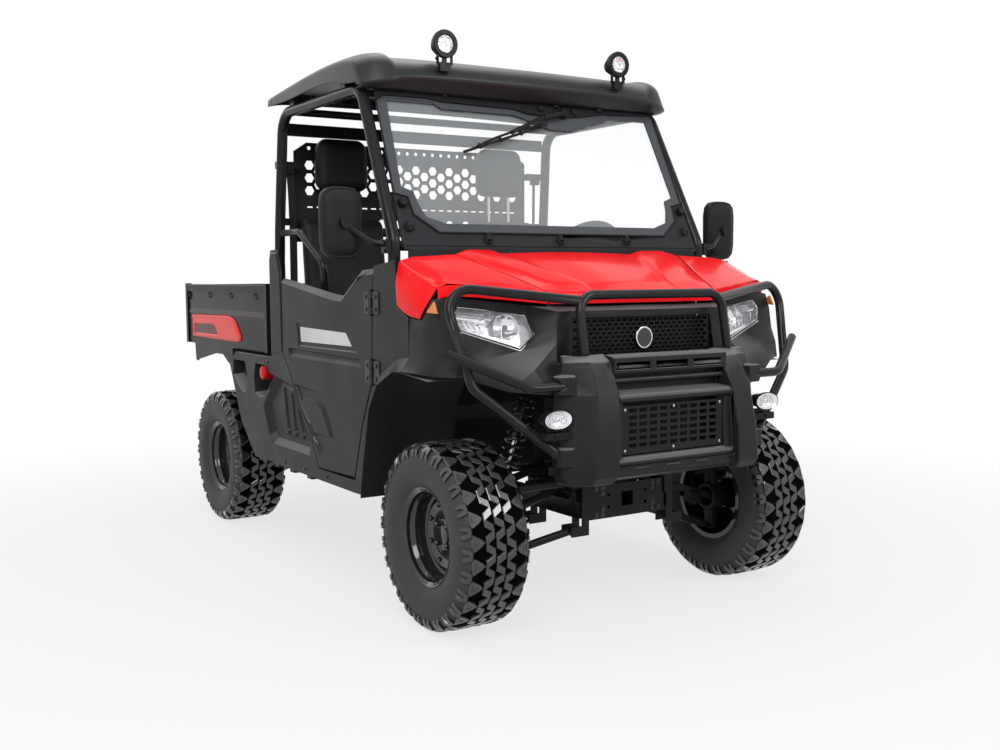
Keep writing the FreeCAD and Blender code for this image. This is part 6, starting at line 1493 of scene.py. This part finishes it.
# ---------------------------------------------------------------- cargo bed
# Welded steel tray, painted gloss black, with tie hooks under its rails.
# It tips back on two pins at the ends of its under-frame.
bed_paint = finish_of("bed_paint", (0.010, 0.008, 0.008), gloss=(0.24, 0.36), coat=0.04, specular=0.09,
                      patch=3, grain=300, depth=0.0002, dust=((0.10, 0.07, 0.065), 0.08))
bed_brown = finish_of("bed_shoulder", (0.032, 0.013, 0.014), gloss=(0.26, 0.36), coat=0.08, patch=6,
                      mottle=0.25, grain=300, depth=0.0002)
rail_grey = finish_of("rail_grey", (0.014, 0.014, 0.015), gloss=(0.38, 0.5), grain=600, depth=0.0003,
                      pale=0.6)
dress("bed", "cargo_bed", 0.0012, bed_paint, "bed", "trim_black", over=40)
shoulders, hooks_of_bed, rail_caps = [], [], []
for side in (-1, 1):
    top, foot = 1063, 1004
    points = [Vector(p) / 1000 for p in (
        (side * 719, 388, top), (side * 727.5, 388, foot), (side * 727.5, 1474, foot),
                                         (side * 719, 1414, top),
        (side * 716, 388, top), (side * 716, 388, foot), (side * 716, 1474, foot), (side * 716, 1414, top))]
    shoulders.append((points, [(0, 1, 2, 3), (4, 7, 6, 5), (0, 3, 7, 4), (1, 5, 6, 2), (0, 4, 5, 1),
                               (3, 2, 6, 7)]))
    for y in (1.455, 1.145, 0.835, 0.512):
        curve = []
        for n in range(11):
            angle = math.pi * n / 10
            curve.append(Vector((side * (0.7215 + 0.0058 * math.sin(angle)), y + 0.004 * math.cos(angle),
                                 1.110 - 0.026 * n / 10)))
        hooks_of_bed.append(swept(curve, 0.0032, 8))
    rail_caps.append(side_pad(side, [(388, 1117), (1473, 1117), (1473, 1147), (388, 1147)], 729, 731.6,
                              1.5))
make("bed_shoulders", shoulders, 0.002, bed_brown, "bed", "trim_black")
make("bed_hooks", hooks_of_bed, 0, black_steel, "bed", "trim_black", over=50)
make("bed_rail_faces", rail_caps, 0.0008, rail_grey, "bed", "trim_black")
ribs_of_floor = [box_form((x - 0.018, x + 0.018), (0.400, 1.440), (0.8540, 0.8585)) for x in
                 [-0.60 + 0.1 * n for n in range(13)]]
make("bed_floor_ribs", ribs_of_floor, 0.003, bed_paint, "bed", "trim_black")

# ---------------------------------------------------------------- bed side panels
# Glossy red moulded panels riveted to the bed's sides, with a sunk dark-red window.
# They carry no lettering.
panel_red = gloss_paint("bed_panel_red", (0.92, 0.045, 0.035))
deep_red = gloss_paint("bed_window_red", (0.10, 0.003, 0.005))
red_edge = [(1407, 997), (848, 1003), (790, 990), (758, 972), (696, 908), (704, 888), (730, 882),
            (1400, 886)]
red_window = [(1372, 954), (1095, 960), (1046, 950), (1010, 912), (1016, 902), (1374, 902)]
for side, word in ((1, "left"), (-1, "right")):
    forms = [side_sheet(side, shift(red_edge, [12, 14, 14, 12, 10, 6, 8, 8]), [red_window], 732.4, 1.2),
             side_pad(side, red_window, 732.4, 728.6, 4)]
    forms[1] = (forms[1][0], forms[1][1][1:])
    rim = shift(red_edge, [12, 14, 14, 12, 10, 6, 8, 8])
    count = len(red_edge)
    border = [Vector((side * 732.4, y, z)) / 1000 for y, z in rim]
    border += [Vector((side * 730.6, y, z)) / 1000 for y, z in shift(red_edge, 2.5)]
    border += [Vector((side * 725, y, z)) / 1000 for y, z in red_edge]
    forms.append((border, walls(count, 2)))
    fit(round_edges(join_sheet("bed_panel_" + word, forms), 0.002, 3, over=14), panel_red, "bed",
        "lens_red", "bed_reflectors")
    window = put("bed_window_" + word, side_pad(side, shift(red_window, 3), 728.2, 729.2, 1))
    fit(round_edges(window, 0.0005), deep_red, "bed", "lens_red")

# ---------------------------------------------------------------- tailgate
# Pressed steel gate that drops on a pin at each end of its lower edge.
# Two shallow panels stiffen it, and a pull handle sits between them.
dress("tailgate", "gate_leaf", 0.0015, bed_paint, "tailgate", "trim_black")
presses = [box_form((low, high), face, (0.905, 1.095)) for face in ((1.5035, 1.5048), (1.4800, 1.4812))
           for low, high in ((-0.62, -0.12), (0.12, 0.62))]
make("gate_presses", presses, 0.0006, bed_paint, "tailgate", "trim_black")
make("gate_handle", [box_form((-0.070, 0.070), (1.5025, 1.5049), (1.050, 1.085))], 0.001, black_steel,
     "tailgate", "trim_black")

# ---------------------------------------------------------------- lift cylinder
# Electric ram under the bed: painted barrel with a turned cap, and a bright plated rod.
# Its foot pin sits in the frame and its eye rides on the bed's pin.
dress("lift_barrel", "ram_barrel", 0.0015, powder_black, "lift_barrel", "frame_black", over=40)
dress("lift_rod", "ram_rod", 0.001, damper_steel, "lift_rod", "rod_chrome", over=40)

# ---------------------------------------------------------------- studio
# Pale seamless floor under four soft boxes and a pale surround.
# Camera, transmission and glossy rays all see floor and surround as white.


def sees_white(tree):
    """Socket that is 1 for camera, transmission and glossy rays."""
    seen = tree.nodes.new("ShaderNodeLightPath")
    either = tree.nodes.new("ShaderNodeMath")
    any_of = tree.nodes.new("ShaderNodeMath")
    either.operation = any_of.operation = "MAXIMUM"
    tree.links.new(seen.outputs["Is Camera Ray"], either.inputs[0])
    tree.links.new(seen.outputs["Is Transmission Ray"], either.inputs[1])
    tree.links.new(either.outputs["Value"], any_of.inputs[0])
    tree.links.new(seen.outputs["Is Glossy Ray"], any_of.inputs[1])
    return any_of.outputs["Value"]


def studio_floor():
    """Matt floor that shows white to the eye but keeps the shadow that falls on it."""
    material = bpy.data.materials.new("studio_floor")
    material.use_nodes = True
    tree = material.node_tree
    tree.nodes.clear()
    output = tree.nodes.new("ShaderNodeOutputMaterial")
    matt = tree.nodes.new("ShaderNodeBsdfDiffuse")
    matt.inputs["Color"].default_value = (0.62, 0.62, 0.62, 1)
    white = tree.nodes.new("ShaderNodeEmission")
    white.inputs["Color"].default_value = (1, 1, 1, 1)
    place = tree.nodes.new("ShaderNodeTexCoord")
    away = tree.nodes.new("ShaderNodeVectorMath")
    away.operation = "LENGTH"
    share = tree.nodes.new("ShaderNodeMapRange")
    share.interpolation_type = "SMOOTHSTEP"
    share.inputs["From Min"].default_value = 1.6
    share.inputs["From Max"].default_value = 4.2
    share.inputs["To Min"].default_value = 0.74
    share.inputs["To Max"].default_value = 1.0
    lit = tree.nodes.new("ShaderNodeMath")
    lit.operation = "MULTIPLY"
    mix = tree.nodes.new("ShaderNodeMixShader")
    tree.links.new(place.outputs["Object"], away.inputs[0])
    tree.links.new(away.outputs["Value"], share.inputs["Value"])
    tree.links.new(sees_white(tree), lit.inputs[0])
    tree.links.new(share.outputs["Result"], lit.inputs[1])
    tree.links.new(lit.outputs["Value"], mix.inputs["Fac"])
    tree.links.new(matt.outputs["BSDF"], mix.inputs[1])
    tree.links.new(white.outputs["Emission"], mix.inputs[2])
    tree.links.new(mix.outputs["Shader"], output.inputs["Surface"])
    return material


floor_mesh = bpy.data.meshes.new("studio_floor")
floor_mesh.from_pydata([(-60, -60, 0), (60, -60, 0), (60, 60, 0), (-60, 60, 0)], [], [(0, 1, 2, 3)])
floor = bpy.data.objects.new("studio_floor", floor_mesh)
bpy.context.scene.collection.objects.link(floor)
floor.data.materials.append(studio_floor())

surround = bpy.data.worlds.new("surround")
surround.use_nodes = True
nodes, links = surround.node_tree.nodes, surround.node_tree.links
nodes.clear()
glow = nodes.new("ShaderNodeBackground")
glow.inputs["Color"].default_value = (0.96, 0.98, 1.0, 1)
glow.inputs["Strength"].default_value = 0.50
white_wall = nodes.new("ShaderNodeBackground")
white_wall.inputs["Color"].default_value = (1, 1, 1, 1)
white_wall.inputs["Strength"].default_value = 1.0
choose = nodes.new("ShaderNodeMixShader")
sky = nodes.new("ShaderNodeOutputWorld")
links.new(sees_white(surround.node_tree), choose.inputs["Fac"])
links.new(glow.outputs["Background"], choose.inputs[1])
links.new(white_wall.outputs["Background"], choose.inputs[2])
links.new(choose.outputs["Shader"], sky.inputs["Surface"])
bpy.context.scene.world = surround

for name, place, size, power in (("key_softbox", (-3.6, -4.6, 4.6), 3.2, 210),
                                 ("fill_softbox", (2.2, -5.6, 3.6), 1.7, 90),
                                 ("top_softbox", (0.0, 0.8, 5.6), 4.0, 110),
                                 ("back_softbox", (-1.4, 5.6, 4.0), 3.4, 40)):
    lamp = bpy.data.lights.new(name, "AREA")
    lamp.shape, lamp.size, lamp.energy = "SQUARE", size, power
    holder = bpy.data.objects.new(name, lamp)
    bpy.context.scene.collection.objects.link(holder)
    holder.location = place
    holder.rotation_euler = (Vector((0, 0, 0.8)) - Vector(place)).to_track_quat("-Z", "Y").to_euler()

# ---------------------------------------------------------------- camera
# Three-quarter front view from a little above the bonnet line.
# It is held nearly level, with a slight roll.
turn, lift, roll = math.radians(-32.465), math.radians(5.063), math.radians(-0.376)
backwards = Vector((math.sin(turn) * math.cos(lift), -math.cos(turn) * math.cos(lift), math.sin(lift)))
rightwards = (-backwards).cross(Vector((0, 0, 1))).normalized()
upwards = rightwards.cross(-backwards)
tilted_right = rightwards * math.cos(roll) + upwards * math.sin(roll)
tilted_up = upwards * math.cos(roll) - rightwards * math.sin(roll)
view = bpy.data.cameras.new("three_quarter_view")
view.sensor_fit = "HORIZONTAL"
view.sensor_width = 36.0
view.lens = 40.485
camera = bpy.data.objects.new("three_quarter_view", view)
bpy.context.scene.collection.objects.link(camera)
placed = Matrix((tilted_right, tilted_up, backwards)).transposed().to_4x4()
placed.translation = Vector((-2.4977, -4.3056, 1.1839))
camera.matrix_world = placed
bpy.context.scene.camera = camera
bpy.context.scene.view_settings.view_transform = "Standard"
